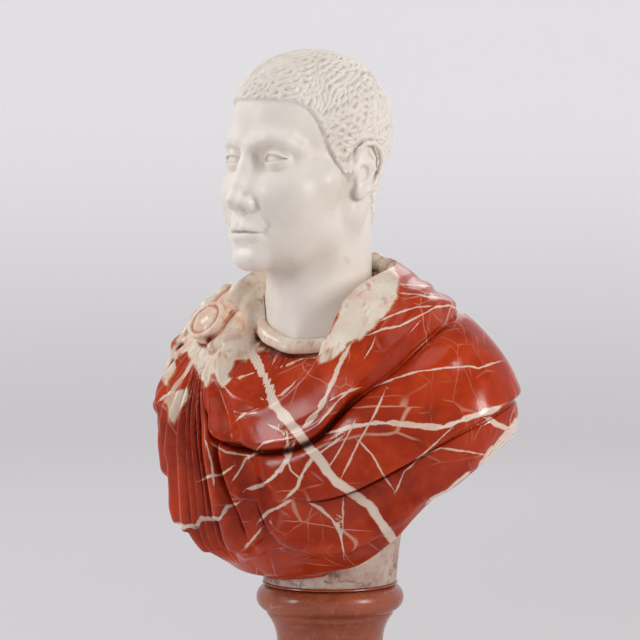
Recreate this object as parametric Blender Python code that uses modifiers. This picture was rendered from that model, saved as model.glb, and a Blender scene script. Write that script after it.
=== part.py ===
"""Portrait bust of a Roman emperor: a white marble head let into a draped bust of red marble on a turned socle.

The figure faces -Y and its left is +X.  The head and the drapery are free forms.  Each is the nought level of a
field, a function that gives for every point about how far it is from the surface, and the fields are joined from
ellipsoids, tapered bars and folds.  The figure is written in millimetres, with the foot of its stem at 150, and
the solids are set down in metres on the seat of the socle.
"""
import math
from concurrent.futures import ThreadPoolExecutor

import bmesh
import bpy
import numpy as np

for old in list(bpy.data.objects):
    bpy.data.objects.remove(old)

MM = 0.001

# Driving dimensions, in metres.
HEAD_HEIGHT = 0.235
SOCLE_HEIGHT = 0.150
SOCLE_RADIUS = 0.103
SOCLE_TORUS_RADIUS = 0.0805
SOCLE_WAIST_RADIUS = 0.0580
STEM_FOOT_RADIUS = 0.0725
# Heights over the seat on the socle.
CHIN_OVER_SEAT = 0.341
NECK_FLOOR_OVER_SEAT = 0.222
# Clearances.
SEAT_GAP = 0.0003
NECK_GAP = 0.0018

# The head's own proportions are shares of a height of 240 from chin to crown, its eyes at nought and its chin at -117.
HEAD_UNITS = 240.0
CHIN_AT = -117.0
HEAD_SCALE = HEAD_HEIGHT / MM / HEAD_UNITS
FIGURE_FOOT = 150.0
CHIN = FIGURE_FOOT + CHIN_OVER_SEAT / MM
HEAD_PLACE = (-8.0, -30.0, CHIN - CHIN_AT * HEAD_SCALE)
HEAD_TURN = -11.0
NECK_CENTRE = (4.0, -15.0)
CORE = (0.0, 0.0, 300.0)
STEM_FOOT = FIGURE_FOOT + SEAT_GAP / MM
NECK_FLOOR = FIGURE_FOOT + NECK_FLOOR_OVER_SEAT / MM

GRID_STEP = 2.6
HEAD_TRIANGLES = 4050
BUST_TRIANGLES = 4500
SOCLE_STEPS = 28
# Half the width over which a crease steps down.
CREASE_SOFTNESS = 1.7


# Shapes as fields.
def blend_min(a, b, k):
    h = np.maximum(k - np.abs(a - b), 0.0) / k
    return np.minimum(a, b) - h * h * k * 0.25


def blend_max(a, b, k):
    return -blend_min(-a, -b, k)


def ramp(x, lo, hi):
    t = np.clip((x - lo) / (hi - lo), 0.0, 1.0)
    return t * t * (3.0 - 2.0 * t)


def bell(x, width):
    return np.exp(-((x / width) ** 2))


def between(x, lo, hi, soft):
    return ramp(x, lo, lo + soft) * (1.0 - ramp(x, hi - soft, hi))


def ellipsoid(p, centre, radii):
    q = (p - np.array(centre, np.float32)) / np.array(radii, np.float32)
    k0 = np.sqrt((q * q).sum(1)) + 1e-6
    g = q / np.array(radii, np.float32)
    k1 = np.sqrt((g * g).sum(1)) + 1e-9
    return k0 * (k0 - 1.0) / k1


def bar(p, first, last):
    """Tapered round bar between two points given as x, y, z, radius."""
    a = np.array(first[:3], np.float32)
    d = np.array(last[:3], np.float32) - a
    t = np.clip(((p - a) @ d) / float(d @ d), 0.0, 1.0)
    q = p - a - t[:, None] * d
    return np.sqrt((q * q).sum(1)) - (first[3] + t * (last[3] - first[3]))


def bars(p, points, k=1.0):
    """Tapered bars joined end to end."""
    out = bar(p, points[0], points[1])
    for first, last in zip(points[1:-1], points[2:]):
        out = blend_min(out, bar(p, first, last), k)
    return out


def turned(p, axis, degrees):
    """The points as seen by a shape turned about an axis by the angle."""
    c = math.cos(math.radians(degrees))
    s = math.sin(math.radians(degrees))
    x, y, z = p[:, 0], p[:, 1], p[:, 2]
    if axis == "x":
        q = (x, c * y + s * z, -s * y + c * z)
    elif axis == "y":
        q = (c * x - s * z, y, s * x + c * z)
    else:
        q = (c * x + s * y, -s * x + c * y, z)
    return np.stack(q, 1).astype(np.float32)


def through(x, pairs):
    """Smooth curve through pairs of numbers."""
    xs = np.array([a for a, _ in pairs], float)
    ys = np.array([b for _, b in pairs], float)
    slope = np.gradient(ys, xs)
    x = np.clip(x, xs[0], xs[-1])
    i = np.clip(np.searchsorted(xs, x, side="right") - 1, 0, len(xs) - 2)
    h = xs[i + 1] - xs[i]
    t = (x - xs[i]) / h
    start = (1 + 2 * t) * (1 - t) ** 2 * ys[i] + t * (1 - t) ** 2 * h * slope[i]
    return start + t * t * (3 - 2 * t) * ys[i + 1] + t * t * (t - 1) * h * slope[i + 1]


# The head, in its own units: x to its left, y to its back, z up.
HAIRLINE = [
    (0, 64), (14, 64), (26, 62), (36, 59), (43, 54), (49, 44), (54, 30), (59, 14), (65, -2), (71, -16), (76, -23),
    (82, -20), (88, 4), (96, 20), (106, 21), (114, 8), (119, -14), (126, -40), (138, -62), (160, -74), (180, -78),
]
HAIR_THICK = 3.2


def over_hairline(p):
    """Height over the line where the hair begins."""
    angle = np.degrees(np.arctan2(np.abs(p[:, 0]), -(p[:, 1] - 8.0)))
    return p[:, 2] - np.interp(angle, [a for a, _ in HAIRLINE], [b for _, b in HAIRLINE])


def skull(p, q):
    f = ellipsoid(p, (0, 24, 38), (74, 72, 78))
    f = blend_min(f, ellipsoid(p, (0, -18, 40), (63, 74, 72)), 34)
    f = blend_min(f, ellipsoid(p, (0, -38, -44), (56, 54, 70)), 22)
    f = blend_min(f, bars(q, [(26, -75, -35, 13), (42, -62, -31, 15), (56, -34, -24, 12.5), (63, -4, -16, 8)], 12), 30)
    f = blend_min(f, ellipsoid(q, (34, -48, -62), (24, 28, 34)), 26)
    jaw = [(9, -80, -101, 13), (30, -58, -94, 12.5), (48, -20, -80, 12.5), (57, 4, -56, 12), (62, 8, -20, 10)]
    f = blend_min(f, bars(q, jaw, 12), 24)
    f = blend_min(f, ellipsoid(p, (0, -85.5, -104), (19, 14, 13.5)), 14)
    return blend_min(f, ellipsoid(p, (0, -74, -75), (31, 27, 25)), 14)


def brow_and_eyes(f, q):
    brow = [(0, -84.5, 14, 7.5), (14, -85.5, 19, 6.5), (28, -82.5, 22, 6.8), (41, -74, 19, 6.8), (49, -62, 12, 6)]
    f = blend_min(f, bars(q, brow, 8), 14)
    f = blend_max(f, -ellipsoid(q, (32, -92, 2), (19, 15, 12.5)), 9)
    f = blend_max(f, -ellipsoid(q, (14, -91, 3), (6.0, 7, 7)), 10)
    lids = ellipsoid(q, (31.5, -71.0, 1), (16.6, 17.2, 16.4))
    side = (q[:, 0] - 31.5) / 15.5
    arch = 5.4 * (1 - side * side)
    slit = np.maximum(q[:, 2] - 1.2 - arch, 1.2 - 0.72 * arch - q[:, 2])
    lids = blend_max(lids, -np.maximum(slit, (np.abs(side) - 0.97) * 15.5), 1.2)
    f = blend_min(f, lids, 2.2)
    crease = [(19, -88, 5.5, 1.0), (25, -89.5, 10.5, 1.6), (33, -88.5, 12, 1.8), (42, -82, 9.5, 1.6), (48, -75, 4, 1.0)]
    f = blend_max(f, -bars(q, crease, 2), 3.0)
    return blend_min(f, ellipsoid(q, (31.5, -70.5, 1), (14.2, 14.4, 14.2)), 0.6)


def nose(f, p, q):
    f = blend_min(f, ellipsoid(p, (0, -86, -26), (12.5, 17, 27)), 12)
    bridge = [(0, -87, 14, 6.2), (0, -94, -6, 5.2), (0, -104, -26, 5.8), (0, -111, -41, 6.6)]
    f = blend_min(f, bars(p, bridge, 8), 7)
    f = blend_min(f, ellipsoid(p, (0, -109.5, -42.5), (8.4, 9.0, 7.8)), 5)
    f = blend_min(f, ellipsoid(q, (11.8, -98.0, -46), (6.4, 10.5, 7.2)), 6)
    f = blend_min(f, bar(p, (0, -110, -47, 4), (0, -98, -54, 4)), 4)
    f = blend_max(f, -ellipsoid(q, (7.0, -104, -54), (3.2, 6.0, 4.6)), 1.4)
    return blend_max(f, -bars(q, [(17.5, -101, -38, 1.0), (21, -96, -43, 1.2), (21.5, -92.5, -51, 1.0)]), 4.0)


def mouth(f, p, q):
    top = [(0, -98.5, -71.5, 3.8), (5, -99.4, -71, 4.4), (12, -97.0, -72.3, 4.0), (23, -88.5, -76.3, 2.2)]
    low = [(0, -96.5, -82, 5.6), (9, -95.4, -81.6, 5.2), (17, -91.5, -79.8, 3.8), (23, -88.0, -77.6, 2.2)]
    f = blend_min(f, bars(q, top, 3), 5)
    f = blend_min(f, bars(q, low, 3), 5)
    line = np.interp(q[:, 0], [0, 6, 14, 24], [-76.8, -76.0, -76.9, -77.6])
    depth = np.interp(q[:, 0], [0, 14, 23, 27], [3.6, 3.4, 2.2, 0.0])
    f = f + depth * bell(q[:, 2] - line, 1.25) * ramp(-q[:, 1], 70, 84)
    f = blend_max(f, -bar(p, (0, -106.0, -58, 2.6), (0, -107.0, -67, 3.0)), 5)
    f = blend_max(f, -ellipsoid(p, (0, -107.5, -92.5), (16, 11, 4.4)), 9)
    f = blend_max(f, -ellipsoid(q, (27.5, -91.5, -78), (3.0, 4.5, 4.5)), 6)
    return blend_max(f, -bars(q, [(21, -99, -50, 1.2), (27, -94, -61, 1.4), (31, -88, -71, 1.0)], 2), 5)


def ear(q):
    e = turned(q - np.array([70.5, 10.0, -10.0], np.float32), "z", 4)
    e = turned(e, "x", -10)
    rim = [
        (4, -12, -2, 1.8), (6, -15, 8, 2.6), (8.5, -14, 20, 2.8), (11, -7, 28, 2.9), (12.5, 4, 30.5, 3.0),
        (13.5, 14, 26, 3.1), (14, 19, 14, 3.0), (13, 18, 0, 2.9), (10.5, 13, -13, 2.8), (7.5, 5, -23, 3.2),
    ]
    fold = [(9, 1, 21, 2.0), (10.5, 8, 15, 2.4), (11, 10, 3, 2.6), (9.5, 7, -8, 2.5), (7, 2, -14, 2.2), (6, -4, -15, 2.2)]
    f = ellipsoid(e, (6.5, 3, 1), (4.5, 17, 30))
    f = blend_max(f, -ellipsoid(e, (12, 4, 8), (5.0, 12.0, 20)), 3)
    f = blend_max(f, -ellipsoid(e, (12, -3.5, -4), (10.0, 8.5, 9.5)), 2.5)
    f = blend_min(f, bar(e, (2, 2, -4, 9), (5, 2, 8, 8)), 6)
    f = blend_max(f, -ellipsoid(e, (12.5, -3.5, -4), (8.5, 7.5, 8.5)), 2.0)
    f = blend_min(f, ellipsoid(e, (6.0, -2.5, -24), (4.2, 8.0, 9.0)), 4)
    f = blend_min(f, bars(e, rim, 1.5), 1.6)
    f = blend_min(f, bars(e, fold, 2), 2.0)
    return blend_min(f, ellipsoid(e, (5.5, -12.5, -5), (3.6, 3.6, 6.0)), 3)


def neck(p):
    """The neck leans back and to the figure's left on its way down to the bust."""
    sway = ramp(-p[:, 2], 50, 200)
    p = p - np.stack([9.0 * sway, 6.0 * sway, 0 * sway], 1).astype(np.float32)
    q = np.abs(p * np.array([1, 0, 0], np.float32)) + p * np.array([0, 1, 1], np.float32)
    f = bars(p, [(0, 22, -30, 56), (0, 15, -90, 50), (0, 8, -140, 48.5), (0, 4, -190, 51.5), (0, 2, -260, 57)], 30)
    f = blend_min(f, bars(p, [(0, -8, -108, 32), (0, -8, -150, 33), (0, -8, -195, 38)], 20), 16)
    strap = [(56, 24, -44, 12), (44, -3, -100, 12), (31, -26, -150, 10.5), (14, -45, -200, 8)]
    f = blend_min(f, bars(q, strap, 10), 9)
    return blend_min(f, ellipsoid(p, (0, -38, -138), (8, 8, 13)), 10)


def head_shape(p):
    q = p.copy()
    q[:, 0] = np.sqrt(p[:, 0] ** 2 + 0.25)
    f = brow_and_eyes(skull(p, q), q)
    f = mouth(nose(f, p, q), p, q)
    f = blend_min(f, neck(p), 18)
    f = f - HAIR_THICK * ramp(over_hairline(p), -1.0, 5.0)
    return blend_min(f, ear(q), 3.0)


def to_head(p):
    q = turned(p - np.array(HEAD_PLACE, np.float32), "z", HEAD_TURN)
    return q / np.float32(HEAD_SCALE)


def head_field(p):
    """The head and neck, ended flat inside the bust."""
    f = head_shape(to_head(p)) * HEAD_SCALE
    return blend_max(f, NECK_FLOOR + SEAT_GAP / MM - p[:, 2], 3.0)


# Locks of hair, as curved tongues that lie like shingles away from a whorl at the back of the crown.
WHORL = np.array([0.15, 0.74, 0.66])
LOCK_COUNT = 420
LOCK_LENGTH = 27.0
LOCK_WIDTH = 9.0
LOCK_RELIEF = 3.2
SKULL_CENTRE = np.array([0.0, 8.0, 36.0])
SKULL_REACH = np.array([70.0, 92.0, 80.0])
NAPE_COUNT = 70
NAPE_REACH = np.array([57.0, 80.0, 0.0])


def lock_frames():
    """Each lock's place on the skull, the way it lies, across, and its bend and turn in the pattern."""
    i = np.arange(LOCK_COUNT)
    rise = 1.0 - 1.6 * (i + 0.5) / LOCK_COUNT
    round_ = i * math.pi * (3.0 - math.sqrt(5.0))
    flat = np.sqrt(np.maximum(0.0, 1.0 - rise * rise))
    out = np.stack([flat * np.cos(round_), flat * np.sin(round_), rise], 1)
    # Those of the nape lie on the round of the neck.
    j = np.arange(NAPE_COUNT)
    round_ = np.radians(20.0 + 140.0 * ((j * 0.618034) % 1.0))
    nape = np.stack([np.cos(round_), np.sin(round_), 0 * round_], 1)
    fall = np.stack([0 * round_, 0 * round_, -16.0 - 62.0 * (j + 0.5) / NAPE_COUNT], 1)
    roots = np.concatenate([SKULL_CENTRE + out * SKULL_REACH, nape * NAPE_REACH + fall])
    out = np.concatenate([out, nape])
    flow = out * (out @ WHORL)[:, None] - WHORL
    flow -= out * (flow * out).sum(1)[:, None]
    flow /= np.linalg.norm(flow, axis=1)[:, None] + 1e-6
    cross = np.cross(out, flow)
    rng = np.random.default_rng(7)
    wave = np.sin(5.0 * out[:, 0] + 3.0 * out[:, 2] + 1.0) + np.sin(7.0 * out[:, 1] - 4.0 * out[:, 2])
    swing = (0.30 * wave + rng.uniform(-0.45, 0.45, len(out)))[:, None]
    flow, cross = flow * np.cos(swing) + cross * np.sin(swing), cross * np.cos(swing) - flow * np.sin(swing)
    bend = rng.uniform(0.35, 0.95, len(out)) * np.sign(np.sin(3.0 * wave + 2.0 * out[:, 1] * 5.0) + 0.2)
    size = rng.uniform(0.8, 1.2, len(out))
    return roots, flow, cross, bend, size


def lay_locks(points, normals):
    """Moves the points of the hair out by the relief of the locks."""
    q = to_head(points.astype(np.float32)).astype(float)
    grown = ramp(over_hairline(q), -2.0, 6.0)
    near_ear = ellipsoid(np.abs(q) * (1, 0, 0) + q * (0, 1, 1), (82, 16, -6), (14, 24, 36))
    grown = grown * ramp(near_ear, -2.0, 6.0)
    roots, flow, cross, bend, size = lock_frames()
    hair = np.nonzero(grown > 0)[0]
    relief = np.zeros(len(q))
    order = hair[np.argsort(q[hair, 2])]
    height = q[order, 2]
    for i in range(len(roots)):
        first, last = np.searchsorted(height, (roots[i, 2] - 15, roots[i, 2] + 15))
        some = order[first:last]
        d = q[some] - roots[i]
        length = LOCK_LENGTH * size[i]
        along = (d @ flow[i]) / length + 0.5
        side = (d @ cross[i]) / LOCK_WIDTH
        near = (along > 0) & (along < 1) & (np.abs(side) < 2.2) & (np.abs(d).sum(1) < 34)
        some, u, w = some[near], along[near], side[near]
        w = w + bend[i] * ((2 * u - 1) ** 2 - 0.4)
        half = 0.92 * np.sqrt(np.clip(1 - u, 0, 1)) * (0.55 + 0.45 * u) + 0.10
        crown = np.clip(1 - (w / half) ** 2, 0, 1) ** 0.7 * (0.2 + 0.8 * ramp(u, 0.0, 0.65)) * (1 - ramp(u, 0.94, 1.0))
        strands = 1.0 - 0.16 * (1 - np.cos(w / half * math.pi * 2.2)) * (1 - 0.5 * u)
        relief[some] = np.maximum(relief[some], crown * strands)
    return points + normals * ((relief - 0.5) * LOCK_RELIEF * HEAD_SCALE * grown)[:, None]


# The torso under the folds: height, then its reach to the figure's left, to its right and to the front.
SLICES = [
    (140, 70, 84, 60), (166, 98, 113, 80), (182, 132, 145, 96), (200, 155, 168, 109), (222, 178, 179, 119),
    (250, 197, 182, 127), (280, 214, 188, 132), (312, 227, 197, 134), (342, 234, 198, 131), (366, 230, 193, 124),
    (396, 219, 177, 114), (420, 200, 162, 102), (440, 178, 144, 92), (460, 147, 121, 82), (480, 106, 92, 72),
    (500, 70, 64, 62), (520, 40, 40, 30),
]
BACK = [(140, 72), (200, 107), (280, 112), (342, 100), (396, 88), (440, 81), (480, 74), (520, 52)]


def torso(p):
    x = p[:, 0]
    y = p[:, 1] + 12.0
    z = p[:, 2]
    left = [(s[0], s[1]) for s in SLICES]
    side = np.where(x > 0, through(z, left), through(z, [(s[0], s[2]) for s in SLICES]))
    deep = np.where(y < 0, through(z, [(s[0], s[3]) for s in SLICES]), through(z, BACK))
    r = (np.abs(x / side) ** 2.3 + np.abs(y / deep) ** 2.3) ** (1 / 2.3) + 1e-6
    size = np.sqrt(x * x + y * y) + 1e-6
    lean = np.abs(through(z + 4.0, left) - through(z - 4.0, left)) / 8.0 * np.abs(x) / size
    return np.maximum(size * (1 - 1 / r) / np.sqrt(1 + lean * lean), z - 520.0)


# Creases of the cloak from the brooch round to the left shoulder and back: degrees round the torso, degrees up.
NECK_LINE = [
    (-180, 76), (-110, 75), (-75, 70), (-59, 65), (-45, 59), (-36, 51), (-29, 42), (-24, 32), (-19, 25), (-14, 20),
    (-7, 15.5), (2, 17), (11, 21), (22, 28.5), (27, 33), (31, 38), (35, 45), (39, 51), (46, 55.5), (54, 58.5), (67, 62),
    (85, 66), (110, 70), (180, 75),
]
BAND_LINE = [(24, 31), (33, 34.6), (41, 37.2), (49, 39.8), (56, 43.3), (63, 48.5), (75, 56), (88, 60), (110, 62), (180, 63)]
UPPER_LINE = [
    (-32, 26), (-25, 15.5), (-18, 6.5), (-5, 1.5), (10, 1.0), (23, 4), (31, 8), (37, 14), (42, 18.5), (51, 23.7),
    (58, 27.6), (65, 31.8), (76, 37), (90, 42), (110, 48), (150, 52),
]
LOWER_LINE = [
    (-2, -8), (6.6, -13), (16, -16.5), (23, -17.3), (31, -16), (42, -11.4), (51, -5.8), (56, -2.4), (61, 1),
    (66, 4.6), (71, 7.4), (80, 11), (90, 14), (110, 18),
]
ROLL_LINE = [
    (0, -20), (2, -26), (4, -32), (8, -35.5), (14, -38), (20, -39.5), (28, -39.6), (35, -38.6), (43, -35), (50, -29.5),
    (56, -24), (66, -16), (80, -8),
]
PER_DEGREE = 2.55


def below(line, round_, up):
    """Millimetres below a crease, over the torso."""
    return (through(round_, line) - up) * PER_DEGREE


def step_down(v, soft=CREASE_SOFTNESS):
    """One above a line and nought below it."""
    return 1.0 / (1.0 + np.exp(np.clip(v / soft, -30, 30)))


def lip(v, above, under, high, deep):
    """A raised rounded edge above a crease, and below it cloth that goes in under the edge."""
    edge = step_down(v)
    return edge * high * np.exp(-np.abs(v) / above) - (1 - edge) * deep * np.exp(-np.abs(v) / under)


def swags(round_, up):
    """The long folds hung from the left shoulder to the brooch."""
    # The upper fold: its lip overhangs a hollow face that runs in to the crease.
    v = below(UPPER_LINE, round_, up)
    hung = between(round_, -34, 170, 14) * (1 - 0.65 * ramp(round_, 72, 98))
    face = 5.0 + 8.5 * between(round_, 37, 92, 13)
    over = 8.0 * np.exp(-np.maximum(-v - face, 0) / 24) * step_down(v + face, 1.5)
    under = (5.5 * np.exp(-np.maximum(v, 0) / 3.5) + 5.5 * np.exp(-np.maximum(v, 0) / 18)) * ramp(v, -face, 0.0)
    d = (over - under - 2.5 * bell(v, 2.4)) * hung
    d = d - 3.5 * bell(v + 19, 3.5) * between(round_, 14, 38, 9)
    # The middle fold, and the hollow under it above the lowest roll.
    v = below(LOWER_LINE, round_, up)
    under = 11.0 * (1 - 0.8 * ramp(round_, 56, 82))
    d = d + (lip(v, 20, 22, 8.0, under) - 4.0 * bell(v - 1.5, 1.8)) * between(round_, -2, 140, 9)
    d = d - 3.0 * bell(v + 34, 12) * between(round_, 20, 96, 20) + 2.5 * bell(v + 52, 10) * between(round_, 30, 90, 16)
    roll = below(ROLL_LINE, round_, up)
    along = between(round_, -4, 74, 14)
    d = d + (8.0 * bell(roll + 12, 11) - 5.5 * bell(roll + 36, 12) * between(round_, 4, 46, 12)) * along
    d = d - 6.0 * (1 - step_down(roll)) * between(round_, -14, 62, 22)
    # The cloak's edge over the tunic, and the broad band along it.
    v = below(NECK_LINE, round_, up)
    d = d + lip(-v, 16, 12, 4.5, 2.0) * between(round_, -14, 40, 10)
    v = below(BAND_LINE, round_, up)
    d = d + 3.5 * step_down(v, 2.0) * between(round_, 22, 175, 9)
    # Shallow folds between the band and the upper crease.
    share = (up - through(round_, UPPER_LINE)) / np.maximum(through(round_, BAND_LINE) - through(round_, UPPER_LINE), 6)
    return d + (2.6 * bell(share - 0.72, 0.15) - 1.8 * bell(share - 0.50, 0.10)) * between(round_, 50, 120, 20)


# Pleats that fan down from the brooch: degrees of the fan, and the height of the cloth there.
PLEATS = [
    (-66, -2), (-60, 0), (-57, -8), (-49, 0), (-46, -8), (-38, 0), (-35, -8), (-27, 0), (-24, -9), (-16, 1), (-13, -9),
    (-5, 2), (-2.5, -8), (2.0, -6), (5.0, 5), (8.0, 3.5), (9.3, -5), (12.0, 4.5), (13.2, -4), (15.2, 4), (16.4, -5),
    (17.6, 1), (18.9, -7), (20.5, 0), (24.5, 8.5), (26.0, 7.5), (28.4, -7), (29.4, -6), (31.8, 9), (33.6, 8.5),
    (38.5, -6), (41.0, -7), (47.0, -1), (54.0, 0),
]


def fan_of(round_, up):
    """Degrees of the fan, and how far below the brooch."""
    dx = round_ * 2.45 + 100.0
    dz = up * PER_DEGREE - 118.0
    reach = np.sqrt(dx * dx + dz * dz) + 1e-6
    return np.degrees(np.arctan2(dx, -dz)) + 0.085 * (reach - 100.0), reach


def gathers(round_, up):
    """Folds and pleats that fan down from the brooch."""
    fan, reach = fan_of(round_, up)
    at = fan + 3.0 * ramp(100 - reach, 0, 60) - 2.2 * ramp(reach, 150, 220) * ramp(fan, 24, 30)
    d = through(at, PLEATS)
    broad = ramp(fan, 16, 22)
    grow = ramp(reach, 14, 105) * (1 - broad) + ramp(reach, 60, 140) * broad
    d = d * grow * (1 - ramp(reach, 212, 252))
    # Broad triangular valley beside the brooch, over the end of the upper crease.
    v = below(UPPER_LINE, round_, up)
    return d - 7.0 * bell(fan - 38, 6.5) * between(reach, 52, 128, 30) * step_down(v + 2, 2.0)


# Lower edges of the layers on the right arm and at the front: degrees round, degrees up.
FALLS = (
    (9.0, [(-100, 2), (-88, 7), (-78, 4), (-66, 8), (-58, 12)], (-112, -50)),
    (6.5, [(-100, -18), (-84, -12), (-74, -14), (-62, -10), (-52, -4)], (-112, -46)),
    (6.5, [(-96, -38), (-74, -30), (-50, -29), (-45, -30.3), (-40, -30.2), (-32, -27), (-22, -27.3), (-16, -24), (-8, -18)],
     (-104, -9)),
    (5.5, [(-86, -47), (-66, -41), (-47, -41), (-33, -40.6), (-19, -41), (-14, -42.5), (-6, -39), (2, -35)], (-92, 4)),
    (4.5, [(-30, -49), (-12, -46), (0, -43), (9, -42.5), (19, -44), (30, -42.5), (42, -38)], (-24, 46)),
)


def falls(round_, up):
    """The layers' lower edges, each layer set in under the one over it."""
    d = np.zeros_like(round_)
    for deep, line, (first, last) in FALLS:
        v = below(line, round_, up)
        edge = step_down(v)
        raised = 0.55 * deep * edge * np.exp(-np.maximum(-v, 0) / 26.0)
        d = d + (raised - 0.45 * deep * (1 - edge) * np.exp(-np.maximum(v, 0) / 40.0)) * between(round_, first, last, 7)
    return d


# The rear of the cut bust: how far back it reaches at each height, and how low its edge hangs over its width.
REAR = [
    (150, -62), (172, -70), (187, -76), (205, -80), (223, -80), (238, -76), (256, -66), (269, -54), (293, -28),
    (313, 4), (330, 26), (345, 38), (370, 50), (400, 62), (440, 80), (520, 90),
]
HEM = [
    (-240, 340), (-215, 300), (-195, 262), (-172, 230), (-150, 205), (-130, 187), (-110, 174), (-90, 166), (-60, 162),
    (-20, 162), (20, 166), (50, 171), (83, 179), (105, 190), (128, 205), (146, 220), (160, 237), (176, 256), (194, 269), (213, 293),
    (226, 318), (250, 350),
]


def shoulder_rolls(p):
    """Rope-like folds gathered over the right shoulder to the brooch."""
    rolls = (
        [(-30, 74, 462, 6), (-44, 46, 484, 8.5), (-60, 20, 494, 9), (-74, -22, 484, 9.5), (-76, -60, 467, 9), (-74, -90, 446, 8)],
        [(-50, 30, 466, 6), (-56, 0, 478, 7), (-64, -38, 467, 8), (-62, -64, 452, 8.5), (-59, -97, 427, 8.5), (-72, -116, 408, 6)],
        [(-56, 76, 452, 6), (-70, 40, 480, 8.5), (-84, 4, 478, 8.5), (-88, -40, 467, 8.5), (-95, -72, 448, 7)],
        [(-78, 72, 446, 6), (-90, 34, 472, 8.5), (-98, 0, 471, 9), (-110, -40, 462, 9), (-122, -58, 447, 8), (-130, -76, 424, 6)],
        [(-104, 66, 436, 5), (-114, 30, 460, 8), (-124, -10, 454, 8), (-138, -54, 436, 7), (-150, -76, 406, 6), (-158, -84, 378, 4)],
    )
    out = bars(p, rolls[0], 8)
    for roll in rolls[1:]:
        out = blend_min(out, bars(p, roll, 8), 0.8)
    return out


def collar(p):
    """The rounded edge of the cloak, from behind the neck down to the breast."""
    line = [
        (-52, 50, 470, 5), (-40, 50, 486, 7), (-8, 60, 492, 7.5), (24, 54, 497, 7.5), (48, 42, 490, 7), (68, 26, 484, 7), (86, -6, 479, 6.5), (90, -34, 470, 5.5),
        (85, -60, 458, 5), (72, -78, 437, 4.5), (64, -96, 413, 4), (60, -118, 387, 3),
    ]
    return bars(p, line, 12)


# The ring lies in a plane that falls to the front and to the left.
RING_FALL_FORWARD = 0.52
RING_FALL_LEFT = 0.22
RING_BELOW_CHIN = 41.0
RING_RADIUS = 6.6


def over_ring(p):
    """Height over the plane of the tunic's rolled neckline."""
    x, y = p[:, 0] - NECK_CENTRE[0], p[:, 1] - NECK_CENTRE[1]
    return p[:, 2] - CHIN + RING_BELOW_CHIN - RING_FALL_FORWARD * y + RING_FALL_LEFT * x


def tunic_ring(p):
    """The tunic's rolled neckline, close round the neck."""
    out = neck(to_head(p)) * HEAD_SCALE - RING_RADIUS + 0.8
    over = over_ring(p) / 1.143 + 1.0
    return np.sqrt(out * out + over * over) - RING_RADIUS


def over_tunic(p):
    """Height over the tunic, which goes down from its ring to the cloak's edge."""
    x, y = p[:, 0] - NECK_CENTRE[0], p[:, 1] - NECK_CENTRE[1]
    out = np.sqrt(x * x + y * y)
    round_ = np.degrees(np.arctan2(x, -y))
    fall = 0.45 * (1 - ramp(round_, 4, 34)) * np.maximum(out - 66.0, 0.0)
    return (over_ring(p) + 7.0 + fall) * 0.78


def brooch(p):
    q = p - np.array([-86.0, -102.0, 432.0], np.float32)
    axis = np.array([-0.18, -0.78, 0.60])
    along = q @ (axis / np.linalg.norm(axis)).astype(np.float32)
    out = np.sqrt(np.maximum((q * q).sum(1) - along * along, 0))
    disc = np.maximum(out - 23.0, np.abs(along) - 7.0)
    dome = ellipsoid(np.stack([out, along, out * 0], 1), (0, 5, 0), (18, 7.5, 18))
    ring = np.sqrt((out - 21.0) ** 2 + (along - 6.5) ** 2) - 2.8
    return blend_min(blend_min(disc, ring, 1.5), dome, 1.5)


def stem(p):
    """The strut left standing up the back of the bust, down to its round foot."""
    z = p[:, 2]
    foot = STEM_FOOT_RADIUS / MM
    side = through(z, [(140, foot - 1), (150, foot), (185, foot + 3.5), (220, foot + 10.5), (300, foot + 8), (380, foot - 2)])
    rear = through(z, [(140, foot - 1), (150, foot), (220, foot + 2), (300, 62), (350, 54), (420, 50)])
    y = np.where(p[:, 1] > 0, p[:, 1] * side / rear, p[:, 1])
    f = (np.sqrt(p[:, 0] ** 2 + y * y) - side) * 0.9
    return blend_max(f, z - 400, 20)


def cloth_field(p):
    q = p - np.array(CORE, np.float32)
    reach = np.sqrt((q * q).sum(1)) + 1e-6
    round_ = np.degrees(np.arctan2(q[:, 0], -q[:, 1]))
    up = np.degrees(np.arcsin(np.clip(q[:, 2] / reach, -1, 1)))
    block = torso(p)
    over_hem = p[:, 2] - through(p[:, 0], HEM)
    f = block - swags(round_, up) - gathers(round_, up) * ramp(over_hem, -8, 34) - falls(round_, up)
    f = blend_max(f, (p[:, 1] - through(p[:, 2], REAR)) * 0.75, 4.0)
    f = blend_max(f, -over_hem * 0.8, 4.0)
    inward = -below(NECK_LINE, round_, up) * reach / 150.0
    side = block + inward * (0.75 + 5.0 * ramp(round_, 0, 30)) + 3.0
    f = blend_max(f, np.minimum(np.minimum(over_tunic(p), inward), side), 3.0)
    f = blend_min(f, shoulder_rolls(p), 3.0)
    f = blend_min(f, brooch(p), 2.0)
    f = blend_min(f, collar(p), 5.0)
    return blend_min(f, tunic_ring(p), 1.5)


def bust_field(p):
    """The cloth with the stem under it, cut flat at the foot and hollowed for the neck."""
    f = blend_min(cloth_field(p), stem(p), 12.0)
    f = np.maximum(f, STEM_FOOT - p[:, 2])
    plug = np.maximum(head_shape(to_head(p)) * HEAD_SCALE - NECK_GAP / MM, NECK_FLOOR - p[:, 2])
    return np.maximum(f, -plug)


# From fields to meshes.
BLOCK = 4
BATCH = 60000
WORKERS = 4


def in_batches(field, points):
    """The field's values, worked out for a batch of points at a time."""
    parts = [points[i:i + BATCH].astype(np.float32) for i in range(0, len(points), BATCH)]
    with ThreadPoolExecutor(WORKERS) as pool:
        return np.concatenate(list(pool.map(field, parts)))


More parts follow.
